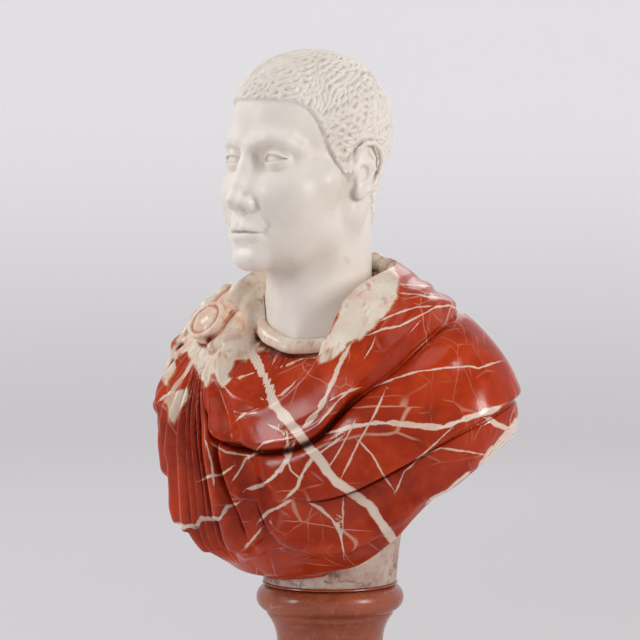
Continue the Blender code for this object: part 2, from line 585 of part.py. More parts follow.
def spread(near, shape):
    """Marks every grid point of the coarse blocks that are marked."""
    mask = np.zeros(shape, bool)
    for axis in range(3):
        near = np.repeat(near, BLOCK, axis)
    for i in (0, 1):
        for j in (0, 1):
            for k in (0, 1):
                mask[i:near.shape[0] + i, j:near.shape[1] + j, k:near.shape[2] + k] |= near
    return mask


def sample(field, low, high, step):
    """Values of the field on a grid, worked out only near its surface."""
    n = [int(math.ceil((b - a) / step / BLOCK)) for a, b in zip(low, high)]
    axes = [low[i] + step * BLOCK * np.arange(n[i] + 1) for i in range(3)]
    coarse = np.stack(np.meshgrid(*axes, indexing="ij"), -1).reshape(-1, 3)
    coarse = in_batches(field, coarse).reshape([k + 1 for k in n])
    least = np.full(n, np.inf)
    for i in (0, 1):
        for j in (0, 1):
            for k in (0, 1):
                least = np.minimum(least, np.abs(coarse[i:n[0] + i, j:n[1] + j, k:n[2] + k]))
    shape = [k * BLOCK + 1 for k in n]
    full = np.ones(shape, np.float32)
    signs = np.sign(coarse)
    for axis in range(3):
        signs = np.repeat(signs, BLOCK, axis)
    full[:, :, :] = signs[:shape[0], :shape[1], :shape[2]]
    index = np.argwhere(spread(least < step * BLOCK + 5.0, shape))
    full[tuple(index.T)] = in_batches(field, index * step + np.array(low))
    return full


def plain_cells(values, step):
    """Changes the least values so that no cell is crossed by two sheets, which would touch along an edge."""
    corners = np.array([(i, j, k) for i in (0, 1) for j in (0, 1) for k in (0, 1)])
    tiny = 0.02 * step
    for _ in range(40):
        changed = 0
        inside = values < 0
        for axis in range(3):
            u = np.eye(3, dtype=int)[(axis + 1) % 3]
            v = np.eye(3, dtype=int)[(axis + 2) % 3]
            size = np.array(inside.shape) - u - v
            a, b, c, d = [
                inside[tuple(slice(s, s + n) for s, n in zip(start, size))] for start in (0 * u, u, u + v, v)
            ]
            at = np.argwhere((a == c) & (b == d) & (a != b))
            changed += len(at)
            for start, other in ((0 * u, u + v), (u, v)):
                first = tuple((at + start).T)
                second = tuple((at + other).T)
                out = values[first] >= 0
                nearer = values[first] < values[second]
                for place, chosen in ((first, out & nearer), (second, out & ~nearer)):
                    values[tuple(axis_[chosen] for axis_ in place)] = -tiny
        inside = values < 0
        shape = [n - 1 for n in values.shape]
        count = np.zeros(shape, np.int8)
        for i, j, k in corners:
            count += inside[i:shape[0] + i, j:shape[1] + j, k:shape[2] + k]
        for few, sign in ((2, -1), (6, 1)):
            cells = np.argwhere(count == few)
            for corner in corners[:4]:
                first = tuple((cells + corner).T)
                second = tuple((cells + 1 - corner).T)
                odd = (values[first] * sign > 0) & (values[second] * sign > 0)
                odd |= (values[first] * sign >= 0) & (values[second] * sign >= 0) if sign > 0 else False
                values[tuple(axis_[odd] for axis_ in first)] = -sign * tiny
                changed += int(odd.sum())
        if not changed:
            break
    return values


def skin(values, low, step):
    """One point in every cell the surface crosses, and a four-sided face over every crossed edge."""
    inside = values < 0
    shape = [n - 1 for n in values.shape]
    corners = [(i, j, k) for i in (0, 1) for j in (0, 1) for k in (0, 1)]
    count = np.zeros(shape, np.int8)
    for i, j, k in corners:
        count += inside[i:shape[0] + i, j:shape[1] + j, k:shape[2] + k]
    cells = np.argwhere((count > 0) & (count < 8))
    number = np.full(shape, -1, np.int64)
    number[tuple(cells.T)] = np.arange(len(cells))
    total = np.zeros((len(cells), 3))
    hits = np.zeros(len(cells))
    for a in corners:
        for axis in range(3):
            if a[axis]:
                continue
            b = list(a)
            b[axis] = 1
            va = values[tuple((cells + a).T)].astype(float)
            vb = values[tuple((cells + b).T)].astype(float)
            cross = (va < 0) != (vb < 0)
            point = np.repeat(np.array(a, float)[None], len(cells), 0)
            point[:, axis] += np.where(cross, va / np.where(cross, va - vb, 1.0), 0.0)
            total[cross] += point[cross]
            hits += cross
    points = (cells + total / hits[:, None]) * step + np.array(low)
    faces = []
    for axis in range(3):
        u = (axis + 1) % 3
        v = (axis + 2) % 3
        first = [slice(1, -1)] * 3
        second = [slice(1, -1)] * 3
        first[axis] = slice(0, -1)
        second[axis] = slice(1, None)
        at = np.argwhere(inside[tuple(first)] != inside[tuple(second)])
        at[:, u] += 1
        at[:, v] += 1
        ring = []
        for du, dv in ((0, 0), (-1, 0), (-1, -1), (0, -1)):
            cell = at.copy()
            cell[:, u] += du
            cell[:, v] += dv
            ring.append(number[tuple(cell.T)])
        ring = np.stack(ring, 1)
        outward = inside[tuple(at.T)]
        ring[~outward] = ring[~outward][:, ::-1]
        faces.append(ring)
    return points, np.concatenate(faces)


def settle(field, points, step, rounds):
    """Moves the points onto the surface and gives its normals there."""
    for turn in range(rounds + 1):
        slope = np.empty(points.shape)
        for axis in range(3):
            shift = np.zeros(3)
            shift[axis] = 0.2
            slope[:, axis] = (in_batches(field, points + shift) - in_batches(field, points - shift)) / 0.4
        size = np.sqrt((slope ** 2).sum(1)) + 1e-9
        normals = slope / size[:, None]
        if turn < rounds:
            move = np.clip(in_batches(field, points) / np.maximum(size, 0.3), -0.4 * step, 0.4 * step)
            points = points - normals * move[:, None]
    return points, normals


def around_head():
    """Lowest and highest corner of a box round the head and its neck."""
    x, y, z = HEAD_PLACE
    s = HEAD_SCALE
    return (x - 106 * s, y - 132 * s, NECK_FLOOR - 8.0), (x + 114 * s, y + 126 * s, z + 134 * s)


def around_bust():
    """Lowest and highest corner of a box round the drapery and its stem."""
    return (-248.0, -184.0, STEM_FOOT - 8.0), (256.0, 116.0, 524.0)


def body(name, field, low, high, triangles, relief=None):
    """A free form standing on the socle."""
    values = plain_cells(sample(field, low, high, GRID_STEP), GRID_STEP)
    points, faces = skin(values, low, GRID_STEP)
    points, normals = settle(field, points, GRID_STEP, 2)
    if relief:
        points = relief(points, normals)
    mesh = bpy.data.meshes.new(name)
    mesh.from_pydata((points * MM).tolist(), [], faces.tolist())
    bm = bmesh.new()
    bm.from_mesh(mesh)
    bmesh.ops.triangulate(bm, faces=bm.faces)
    bm.to_mesh(mesh)
    have = len(bm.faces)
    bm.free()
    obj = bpy.data.objects.new(name, mesh)
    fewer = obj.modifiers.new("fewer_faces", "DECIMATE")
    fewer.ratio = triangles / have
    obj.location.z = SOCLE_HEIGHT - FIGURE_FOOT * MM
    return obj


def socle():
    """Round foot, lower torus, hollow waist and upper torus with the seat of the bust on top."""
    seat = STEM_FOOT_RADIUS + 0.0015
    torus = 0.0145
    torus_z = SOCLE_HEIGHT - 0.003 - torus
    centre = SOCLE_TORUS_RADIUS - torus
    profile = [(0.0, SOCLE_HEIGHT), (seat - 0.0015, SOCLE_HEIGHT), (seat, SOCLE_HEIGHT - 0.0015)]
    for step in range(7):
        a = math.radians(75 - 25 * step)
        profile.append((centre + torus * math.cos(a), torus_z + torus * math.sin(a)))
    fillet = centre + 0.003
    profile.append((fillet, torus_z - torus - 0.0035))
    foot_z = 0.046
    top_z = torus_z - torus - 0.0035
    for step in range(1, 6):
        t = step / 6
        bulge = math.sin(math.pi * t ** 0.85)
        edge = fillet + (0.079 - fillet) * t * t
        profile.append((edge - (edge - SOCLE_WAIST_RADIUS) * bulge, top_z + (foot_z - top_z) * t))
    profile += [(0.079, foot_z), (0.079, foot_z - 0.0035)]
    for step in range(5):
        a = math.radians(70 - 35 * step)
        profile.append((0.0815 + 0.0125 * math.cos(a), 0.0295 + 0.0125 * math.sin(a)))
    profile += [(SOCLE_RADIUS - 0.002, 0.016), (SOCLE_RADIUS, 0.014), (SOCLE_RADIUS, 0.0), (0.0, 0.0)]
    mesh = bpy.data.meshes.new("socle")
    mesh.from_pydata([(r, 0.0, z) for r, z in profile], [(i, i + 1) for i in range(len(profile) - 1)], [])
    obj = bpy.data.objects.new("socle", mesh)
    turn = obj.modifiers.new("turned", "SCREW")
    turn.axis = "Z"
    turn.angle = 2 * math.pi
    turn.steps = SOCLE_STEPS
    turn.render_steps = SOCLE_STEPS
    turn.use_merge_vertices = True
    turn.merge_threshold = 0.00001
    return obj


def marble(name, colour, roughness):
    material = bpy.data.materials.new(name)
    material.use_nodes = True
    shader = material.node_tree.nodes["Principled BSDF"]
    shader.inputs["Base Color"].default_value = (*colour, 1.0)
    shader.inputs["Roughness"].default_value = roughness
    return material


group = bpy.data.collections.new("roman_emperor_bust")
bpy.context.scene.collection.children.link(group)
pieces = (
    (body("head", head_field, *around_head(), HEAD_TRIANGLES, lay_locks),
     marble("white_marble", (0.78, 0.74, 0.67), 0.35)),
    (body("draped_bust", bust_field, *around_bust(), BUST_TRIANGLES),
     marble("red_marble", (0.34, 0.06, 0.03), 0.22)),
    (socle(), marble("socle_marble", (0.32, 0.11, 0.08), 0.3)),
)
for piece, material in pieces:
    group.objects.link(piece)
    piece.data.materials.append(material)
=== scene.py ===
"""Looks of the portrait bust: carved white marble head, draped red marble bust with its stem, turned socle.

The head and the drapery are the same fields as the solids, sampled finer.  A field gives about how far each
point is from the surface.  The figure faces -Y and its left is +X.  It is written in millimetres and set down in
metres.
"""

import math
from concurrent.futures import ThreadPoolExecutor

import bpy
import numpy as np
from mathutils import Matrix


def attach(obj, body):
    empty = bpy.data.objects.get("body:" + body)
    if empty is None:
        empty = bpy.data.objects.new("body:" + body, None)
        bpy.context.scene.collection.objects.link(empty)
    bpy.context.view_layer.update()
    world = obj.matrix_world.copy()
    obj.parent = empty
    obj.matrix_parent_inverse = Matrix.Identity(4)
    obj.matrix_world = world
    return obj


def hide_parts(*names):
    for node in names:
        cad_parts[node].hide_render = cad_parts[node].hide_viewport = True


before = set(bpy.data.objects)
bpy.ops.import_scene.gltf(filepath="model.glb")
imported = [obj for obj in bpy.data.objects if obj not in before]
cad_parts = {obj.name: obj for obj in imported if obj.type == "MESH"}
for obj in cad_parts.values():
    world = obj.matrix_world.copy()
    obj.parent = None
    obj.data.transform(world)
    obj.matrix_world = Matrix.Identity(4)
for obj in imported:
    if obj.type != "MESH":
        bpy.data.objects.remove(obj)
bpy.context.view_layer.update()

MM = 0.001

# Sizes the solids were made with, in metres.
HEAD_HEIGHT = 0.235
SOCLE_HEIGHT = 0.150
SOCLE_RADIUS = 0.103
SOCLE_TORUS_RADIUS = 0.0805
SOCLE_WAIST_RADIUS = 0.0580
STEM_FOOT_RADIUS = 0.0725
CHIN_OVER_SEAT = 0.341
NECK_FLOOR_OVER_SEAT = 0.222
SEAT_GAP = 0.0003
NECK_GAP = 0.0007

HEAD_UNITS = 240.0
CHIN_AT = -117.0
HEAD_SCALE = HEAD_HEIGHT / MM / HEAD_UNITS
FIGURE_FOOT = SOCLE_HEIGHT / MM
CHIN = FIGURE_FOOT + CHIN_OVER_SEAT / MM
HEAD_PLACE = (-8.0, -30.0, CHIN - CHIN_AT * HEAD_SCALE)
HEAD_TURN = -11.0
NECK_CENTRE = (4.0, -15.0)
CORE = (0.0, 0.0, 300.0)
STEM_FOOT = FIGURE_FOOT + SEAT_GAP / MM
NECK_FLOOR = FIGURE_FOOT + NECK_FLOOR_OVER_SEAT / MM

# Fineness of the carved pieces.
HEAD_STEP = 1.05
BUST_STEP = 1.35
MOST_TRIANGLES = 192000
# Half the width over which a crease steps down.
CREASE_SOFTNESS = 1.1


# Shapes as fields.
def blend_min(a, b, k):
    h = np.maximum(k - np.abs(a - b), 0.0) / k
    return np.minimum(a, b) - h * h * k * 0.25


def blend_max(a, b, k):
    return -blend_min(-a, -b, k)


def ramp(x, lo, hi):
    t = np.clip((x - lo) / (hi - lo), 0.0, 1.0)
    return t * t * (3.0 - 2.0 * t)


def bell(x, width):
    return np.exp(-((x / width) ** 2))


def between(x, lo, hi, soft):
    return ramp(x, lo, lo + soft) * (1.0 - ramp(x, hi - soft, hi))


def ellipsoid(p, centre, radii):
    q = (p - np.array(centre, np.float32)) / np.array(radii, np.float32)
    k0 = np.sqrt((q * q).sum(1)) + 1e-6
    g = q / np.array(radii, np.float32)
    k1 = np.sqrt((g * g).sum(1)) + 1e-9
    return k0 * (k0 - 1.0) / k1


def bar(p, first, last):
    """Tapered round bar between two points given as x, y, z, radius."""
    a = np.array(first[:3], np.float32)
    d = np.array(last[:3], np.float32) - a
    t = np.clip(((p - a) @ d) / float(d @ d), 0.0, 1.0)
    q = p - a - t[:, None] * d
    return np.sqrt((q * q).sum(1)) - (first[3] + t * (last[3] - first[3]))


def bars(p, points, k=1.0):
    """Tapered bars joined end to end."""
    out = bar(p, points[0], points[1])
    for first, last in zip(points[1:-1], points[2:]):
        out = blend_min(out, bar(p, first, last), k)
    return out


def turned(p, axis, degrees):
    """The points as seen by a shape turned about an axis by the angle."""
    c = math.cos(math.radians(degrees))
    s = math.sin(math.radians(degrees))
    x, y, z = p[:, 0], p[:, 1], p[:, 2]
    if axis == "x":
        q = (x, c * y + s * z, -s * y + c * z)
    elif axis == "y":
        q = (c * x - s * z, y, s * x + c * z)
    else:
        q = (c * x + s * y, -s * x + c * y, z)
    return np.stack(q, 1).astype(np.float32)


def through(x, pairs):
    """Smooth curve through pairs of numbers."""
    xs = np.array([a for a, _ in pairs], float)
    ys = np.array([b for _, b in pairs], float)
    slope = np.gradient(ys, xs)
    x = np.clip(x, xs[0], xs[-1])
    i = np.clip(np.searchsorted(xs, x, side="right") - 1, 0, len(xs) - 2)
    h = xs[i + 1] - xs[i]
    t = (x - xs[i]) / h
    start = (1 + 2 * t) * (1 - t) ** 2 * ys[i] + t * (1 - t) ** 2 * h * slope[i]
    return start + t * t * (3 - 2 * t) * ys[i + 1] + t * t * (t - 1) * h * slope[i + 1]


# The head, in its own units: x to its left, y to its back, z up.
HAIRLINE = [
    (0, 64), (14, 64), (26, 62), (36, 59), (43, 54), (49, 44), (54, 30), (59, 14), (65, -2), (71, -16),
    (76, -23),
    (82, -20), (88, 4), (96, 20), (106, 21), (114, 8), (119, -14), (126, -40), (138, -62), (160, -74),
    (180, -78),
]
HAIR_THICK = 3.2


def over_hairline(p):
    """Height over the line where the hair begins."""
    angle = np.degrees(np.arctan2(np.abs(p[:, 0]), -(p[:, 1] - 8.0)))
    return p[:, 2] - np.interp(angle, [a for a, _ in HAIRLINE], [b for _, b in HAIRLINE])


def skull(p, q):
    f = ellipsoid(p, (0, 24, 38), (74, 72, 78))
    f = blend_min(f, ellipsoid(p, (0, -18, 40), (63, 74, 72)), 34)
    f = blend_min(f, ellipsoid(p, (0, -38, -44), (56, 54, 70)), 22)
    cheek = [(26, -75, -35, 13), (42, -62, -31, 15), (56, -34, -24, 12.5), (63, -4, -16, 8)]
    f = blend_min(f, bars(q, cheek, 12), 30)
    f = blend_min(f, ellipsoid(q, (34, -48, -62), (24, 28, 34)), 26)
    jaw = [(9, -80, -101, 13), (30, -58, -94, 12.5), (48, -20, -80, 12.5), (57, 4, -56, 12),
           (62, 8, -20, 10)]
    f = blend_min(f, bars(q, jaw, 12), 24)
    f = blend_min(f, ellipsoid(p, (0, -85.5, -104), (19, 14, 13.5)), 14)
    return blend_min(f, ellipsoid(p, (0, -74, -75), (31, 27, 25)), 14)


def brow_and_eyes(f, q):
    brow = [(0, -84.5, 14, 7.5), (14, -85.5, 19, 6.5), (28, -82.5, 22, 6.8), (41, -74, 19, 6.8),
            (49, -62, 12, 6)]
    f = blend_min(f, bars(q, brow, 8), 14)
    f = blend_max(f, -ellipsoid(q, (32, -92, 2), (19, 15, 12.5)), 9)
    f = blend_max(f, -ellipsoid(q, (14, -91, 3), (6.0, 7, 7)), 10)
    lids = ellipsoid(q, (31.5, -71.0, 1), (16.6, 17.2, 16.4))
    side = (q[:, 0] - 31.5) / 15.5
    arch = 5.4 * (1 - side * side)
    slit = np.maximum(q[:, 2] - 1.2 - arch, 1.2 - 0.72 * arch - q[:, 2])
    lids = blend_max(lids, -np.maximum(slit, (np.abs(side) - 0.97) * 15.5), 1.2)
    f = blend_min(f, lids, 2.2)
    crease = [(19, -88, 5.5, 1.0), (25, -89.5, 10.5, 1.6), (33, -88.5, 12, 1.8), (42, -82, 9.5, 1.6),
              (48, -75, 4, 1.0)]
    f = blend_max(f, -bars(q, crease, 2), 3.0)
    return blend_min(f, ellipsoid(q, (31.5, -70.5, 1), (14.2, 14.4, 14.2)), 0.6)


def nose(f, p, q):
    f = blend_min(f, ellipsoid(p, (0, -86, -26), (12.5, 17, 27)), 12)
    bridge = [(0, -87, 14, 6.2), (0, -94, -6, 5.2), (0, -104, -26, 5.8), (0, -111, -41, 6.6)]
    f = blend_min(f, bars(p, bridge, 8), 7)
    f = blend_min(f, ellipsoid(p, (0, -109.5, -42.5), (8.4, 9.0, 7.8)), 5)
    f = blend_min(f, ellipsoid(q, (11.8, -98.0, -46), (6.4, 10.5, 7.2)), 6)
    f = blend_min(f, bar(p, (0, -110, -47, 4), (0, -98, -54, 4)), 4)
    f = blend_max(f, -ellipsoid(q, (7.0, -104, -54), (3.2, 6.0, 4.6)), 1.4)
    return blend_max(f, -bars(q, [(17.5, -101, -38, 1.0), (21, -96, -43, 1.2), (21.5, -92.5, -51, 1.0)]),
                     4.0)


def mouth(f, p, q):
    top = [(0, -98.5, -71.5, 3.8), (5, -99.4, -71, 4.4), (12, -97.0, -72.3, 4.0), (23, -88.5, -76.3, 2.2)]
    low = [(0, -96.5, -82, 5.6), (9, -95.4, -81.6, 5.2), (17, -91.5, -79.8, 3.8), (23, -88.0, -77.6, 2.2)]
    f = blend_min(f, bars(q, top, 3), 5)
    f = blend_min(f, bars(q, low, 3), 5)
    line = np.interp(q[:, 0], [0, 6, 14, 24], [-76.8, -76.0, -76.9, -77.6])
    depth = np.interp(q[:, 0], [0, 14, 23, 27], [3.6, 3.4, 2.2, 0.0])
    f = f + depth * bell(q[:, 2] - line, 1.25) * ramp(-q[:, 1], 70, 84)
    f = blend_max(f, -bar(p, (0, -106.0, -58, 2.6), (0, -107.0, -67, 3.0)), 5)
    f = blend_max(f, -ellipsoid(p, (0, -107.5, -92.5), (16, 11, 4.4)), 9)
    f = blend_max(f, -ellipsoid(q, (27.5, -91.5, -78), (3.0, 4.5, 4.5)), 6)
    return blend_max(f, -bars(q, [(21, -99, -50, 1.2), (27, -94, -61, 1.4), (31, -88, -71, 1.0)], 2), 5)


def ear(q):
    e = turned(q - np.array([70.5, 10.0, -10.0], np.float32), "z", 4)
    e = turned(e, "x", -10)
    rim = [
        (4, -12, -2, 1.8), (6, -15, 8, 2.6), (8.5, -14, 20, 2.8), (11, -7, 28, 2.9), (12.5, 4, 30.5, 3.0),
        (13.5, 14, 26, 3.1), (14, 19, 14, 3.0), (13, 18, 0, 2.9), (10.5, 13, -13, 2.8), (7.5, 5, -23, 3.2),
    ]
    fold = [(9, 1, 21, 2.0), (10.5, 8, 15, 2.4), (11, 10, 3, 2.6), (9.5, 7, -8, 2.5), (7, 2, -14, 2.2),
            (6, -4, -15, 2.2)]
    f = ellipsoid(e, (6.5, 3, 1), (4.5, 17, 30))
    f = blend_max(f, -ellipsoid(e, (12, 4, 8), (5.0, 12.0, 20)), 3)
    f = blend_max(f, -ellipsoid(e, (12, -3.5, -4), (10.0, 8.5, 9.5)), 2.5)
    f = blend_min(f, bar(e, (2, 2, -4, 9), (5, 2, 8, 8)), 6)
    f = blend_max(f, -ellipsoid(e, (12.5, -3.5, -4), (8.5, 7.5, 8.5)), 2.0)
    f = blend_min(f, ellipsoid(e, (6.0, -2.5, -24), (4.2, 8.0, 9.0)), 4)
    f = blend_min(f, bars(e, rim, 1.5), 1.6)
    f = blend_min(f, bars(e, fold, 2), 2.0)
    return blend_min(f, ellipsoid(e, (5.5, -12.5, -5), (3.6, 3.6, 6.0)), 3)


def neck(p):
    """The neck leans back and to the figure's left on its way down to the bust."""
    sway = ramp(-p[:, 2], 50, 200)
    p = p - np.stack([9.0 * sway, 6.0 * sway, 0 * sway], 1).astype(np.float32)
    q = np.abs(p * np.array([1, 0, 0], np.float32)) + p * np.array([0, 1, 1], np.float32)
    core = [(0, 22, -30, 56), (0, 15, -90, 50), (0, 8, -140, 48.5), (0, 4, -190, 51.5), (0, 2, -260, 57)]
    f = bars(p, core, 30)
    f = blend_min(f, bars(p, [(0, -8, -108, 32), (0, -8, -150, 33), (0, -8, -195, 38)], 20), 16)
    strap = [(56, 24, -44, 12), (44, -3, -100, 12), (31, -26, -150, 10.5), (14, -45, -200, 8)]
    f = blend_min(f, bars(q, strap, 10), 9)
    return blend_min(f, ellipsoid(p, (0, -38, -138), (8, 8, 13)), 10)


def head_shape(p):
    q = p.copy()
    q[:, 0] = np.sqrt(p[:, 0] ** 2 + 0.25)
    f = brow_and_eyes(skull(p, q), q)
    f = mouth(nose(f, p, q), p, q)
    f = blend_min(f, neck(p), 18)
    f = f - HAIR_THICK * ramp(over_hairline(p), -1.0, 5.0)
    return blend_min(f, ear(q), 3.0)


def to_head(p):
    q = turned(p - np.array(HEAD_PLACE, np.float32), "z", HEAD_TURN)
    return q / np.float32(HEAD_SCALE)


def head_field(p):
    """The head and neck, ended flat inside the bust."""
    f = head_shape(to_head(p)) * HEAD_SCALE
    return blend_max(f, NECK_FLOOR + SEAT_GAP / MM - p[:, 2], 3.0)


# Locks of hair, as curved tongues that lie like shingles away from a whorl at the back of the crown.
WHORL = np.array([0.15, 0.74, 0.66])
LOCK_COUNT = 1500
LOCK_LENGTH = 20.0
LOCK_WIDTH = 5.2
LOCK_RELIEF = 3.2
SKULL_CENTRE = np.array([0.0, 8.0, 36.0])
SKULL_REACH = np.array([70.0, 92.0, 80.0])
NAPE_COUNT = 260
NAPE_REACH = np.array([57.0, 80.0, 0.0])


def lock_frames():
    """Each lock's place on the skull, the way it lies, across, and its bend and turn in the pattern."""
    i = np.arange(LOCK_COUNT)
    rise = 1.0 - 1.6 * (i + 0.5) / LOCK_COUNT
    round_ = i * math.pi * (3.0 - math.sqrt(5.0))
    flat = np.sqrt(np.maximum(0.0, 1.0 - rise * rise))
    out = np.stack([flat * np.cos(round_), flat * np.sin(round_), rise], 1)
    # Those of the nape lie on the round of the neck.
    j = np.arange(NAPE_COUNT)
    round_ = np.radians(20.0 + 140.0 * ((j * 0.618034) % 1.0))
    nape = np.stack([np.cos(round_), np.sin(round_), 0 * round_], 1)
    fall = np.stack([0 * round_, 0 * round_, -16.0 - 62.0 * (j + 0.5) / NAPE_COUNT], 1)
    roots = np.concatenate([SKULL_CENTRE + out * SKULL_REACH, nape * NAPE_REACH + fall])
    out = np.concatenate([out, nape])
    flow = out * (out @ WHORL)[:, None] - WHORL
    flow -= out * (flow * out).sum(1)[:, None]
    flow /= np.linalg.norm(flow, axis=1)[:, None] + 1e-6
    cross = np.cross(out, flow)
    rng = np.random.default_rng(7)
    wave = np.sin(5.0 * out[:, 0] + 3.0 * out[:, 2] + 1.0) + np.sin(7.0 * out[:, 1] - 4.0 * out[:, 2])
    swing = (0.30 * wave + rng.uniform(-0.45, 0.45, len(out)))[:, None]
    flow, cross = flow * np.cos(swing) + cross * np.sin(swing), cross * np.cos(swing) - flow * np.sin(swing)
    bend = rng.uniform(0.35, 0.95, len(out)) * np.sign(np.sin(3.0 * wave + 2.0 * out[:, 1] * 5.0) + 0.2)
    size = rng.uniform(0.8, 1.2, len(out))
    return roots, flow, cross, bend, size


def lay_locks(points, normals):
    """Moves the points of the hair out by the relief of the locks."""
    q = to_head(points.astype(np.float32)).astype(float)
    grown = ramp(over_hairline(q), -2.0, 6.0)
    near_ear = ellipsoid(np.abs(q) * (1, 0, 0) + q * (0, 1, 1), (82, 16, -6), (14, 24, 36))
    grown = grown * ramp(near_ear, -2.0, 6.0)
    roots, flow, cross, bend, size = lock_frames()
    hair = np.nonzero(grown > 0)[0]
    relief = np.zeros(len(q))
    order = hair[np.argsort(q[hair, 2])]
    height = q[order, 2]
    for i in range(len(roots)):
        first, last = np.searchsorted(height, (roots[i, 2] - 15, roots[i, 2] + 15))
        some = order[first:last]
        d = q[some] - roots[i]
        length = LOCK_LENGTH * size[i]
        along = (d @ flow[i]) / length + 0.5
        side = (d @ cross[i]) / LOCK_WIDTH
        near = (along > 0) & (along < 1) & (np.abs(side) < 2.2) & (np.abs(d).sum(1) < 34)
        some, u, w = some[near], along[near], side[near]
        w = w + bend[i] * ((2 * u - 1) ** 2 - 0.4)
        half = 0.92 * np.sqrt(np.clip(1 - u, 0, 1)) * (0.55 + 0.45 * u) + 0.10
        crown = np.clip(1 - (w / half) ** 2, 0, 1) ** 0.7
        crown = crown * (0.2 + 0.8 * ramp(u, 0.0, 0.65)) * (1 - ramp(u, 0.94, 1.0))
        strands = 1.0 - 0.16 * (1 - np.cos(w / half * math.pi * 2.2)) * (1 - 0.5 * u)
        relief[some] = np.maximum(relief[some], crown * strands)
    return points + normals * ((relief - 0.5) * LOCK_RELIEF * HEAD_SCALE * grown)[:, None]


# The torso under the folds: height, then its reach to the figure's left, to its right and to the front.
SLICES = [
    (140, 70, 84, 60), (166, 98, 113, 80), (182, 132, 145, 96), (200, 155, 168, 109), (222, 178, 179, 119),
    (250, 197, 182, 127), (280, 214, 188, 132), (312, 227, 197, 134), (342, 234, 198, 131),
    (366, 230, 193, 124),
    (396, 219, 177, 114), (420, 200, 162, 102), (440, 178, 144, 92), (460, 147, 121, 82),
    (480, 106, 92, 72),
    (500, 70, 64, 62), (520, 40, 40, 30),
]
BACK = [(140, 72), (200, 107), (280, 112), (342, 100), (396, 88), (440, 81), (480, 74), (520, 52)]


def torso(p):
    x = p[:, 0]
    y = p[:, 1] + 12.0
    z = p[:, 2]
    left = [(s[0], s[1]) for s in SLICES]
    side = np.where(x > 0, through(z, left), through(z, [(s[0], s[2]) for s in SLICES]))
    deep = np.where(y < 0, through(z, [(s[0], s[3]) for s in SLICES]), through(z, BACK))
    r = (np.abs(x / side) ** 2.3 + np.abs(y / deep) ** 2.3) ** (1 / 2.3) + 1e-6
    size = np.sqrt(x * x + y * y) + 1e-6
    lean = np.abs(through(z + 4.0, left) - through(z - 4.0, left)) / 8.0 * np.abs(x) / size
    return np.maximum(size * (1 - 1 / r) / np.sqrt(1 + lean * lean), z - 520.0)


# Creases of the cloak from the brooch round to the left shoulder and back: degrees round the torso, and up.
NECK_LINE = [
    (-180, 76), (-110, 75), (-75, 70), (-59, 65), (-45, 59), (-36, 51), (-29, 42), (-24, 32), (-19, 25),
    (-14, 20),
    (-7, 15.5), (2, 17), (11, 21), (22, 28.5), (27, 33), (31, 38), (35, 45), (39, 51), (46, 55.5),
    (54, 58.5), (67, 62),
    (85, 66), (110, 70), (180, 75),
]
BAND_LINE = [(24, 31), (33, 34.6), (41, 37.2), (49, 39.8), (56, 43.3), (63, 48.5), (75, 56), (88, 60),
             (110, 62), (180, 63)]
UPPER_LINE = [
    (-32, 26), (-25, 15.5), (-18, 6.5), (-5, 1.5), (10, 1.0), (23, 4), (31, 8), (37, 14), (42, 18.5),
    (51, 23.7),
    (58, 27.6), (65, 31.8), (76, 37), (90, 42), (110, 48), (150, 52),
]
LOWER_LINE = [
    (-2, -8), (6.6, -13), (16, -16.5), (23, -17.3), (31, -16), (42, -11.4), (51, -5.8), (56, -2.4), (61, 1),
    (66, 4.6), (71, 7.4), (80, 11), (90, 14), (110, 18),
]
ROLL_LINE = [
    (0, -20), (2, -26), (4, -32), (8, -35.5), (14, -38), (20, -39.5), (28, -39.6), (35, -38.6), (43, -35),
    (50, -29.5),
    (56, -24), (66, -16), (80, -8),
]
PER_DEGREE = 2.55


def below(line, round_, up):
    """Millimetres below a crease, over the torso."""
    return (through(round_, line) - up) * PER_DEGREE


def step_down(v, soft=CREASE_SOFTNESS):
    """One above a line and nought below it."""
    return 1.0 / (1.0 + np.exp(np.clip(v / soft, -30, 30)))


def lip(v, above, under, high, deep):
    """A raised rounded edge above a crease, and below it cloth that goes in under the edge."""
    edge = step_down(v)
    return edge * high * np.exp(-np.abs(v) / above) - (1 - edge) * deep * np.exp(-np.abs(v) / under)


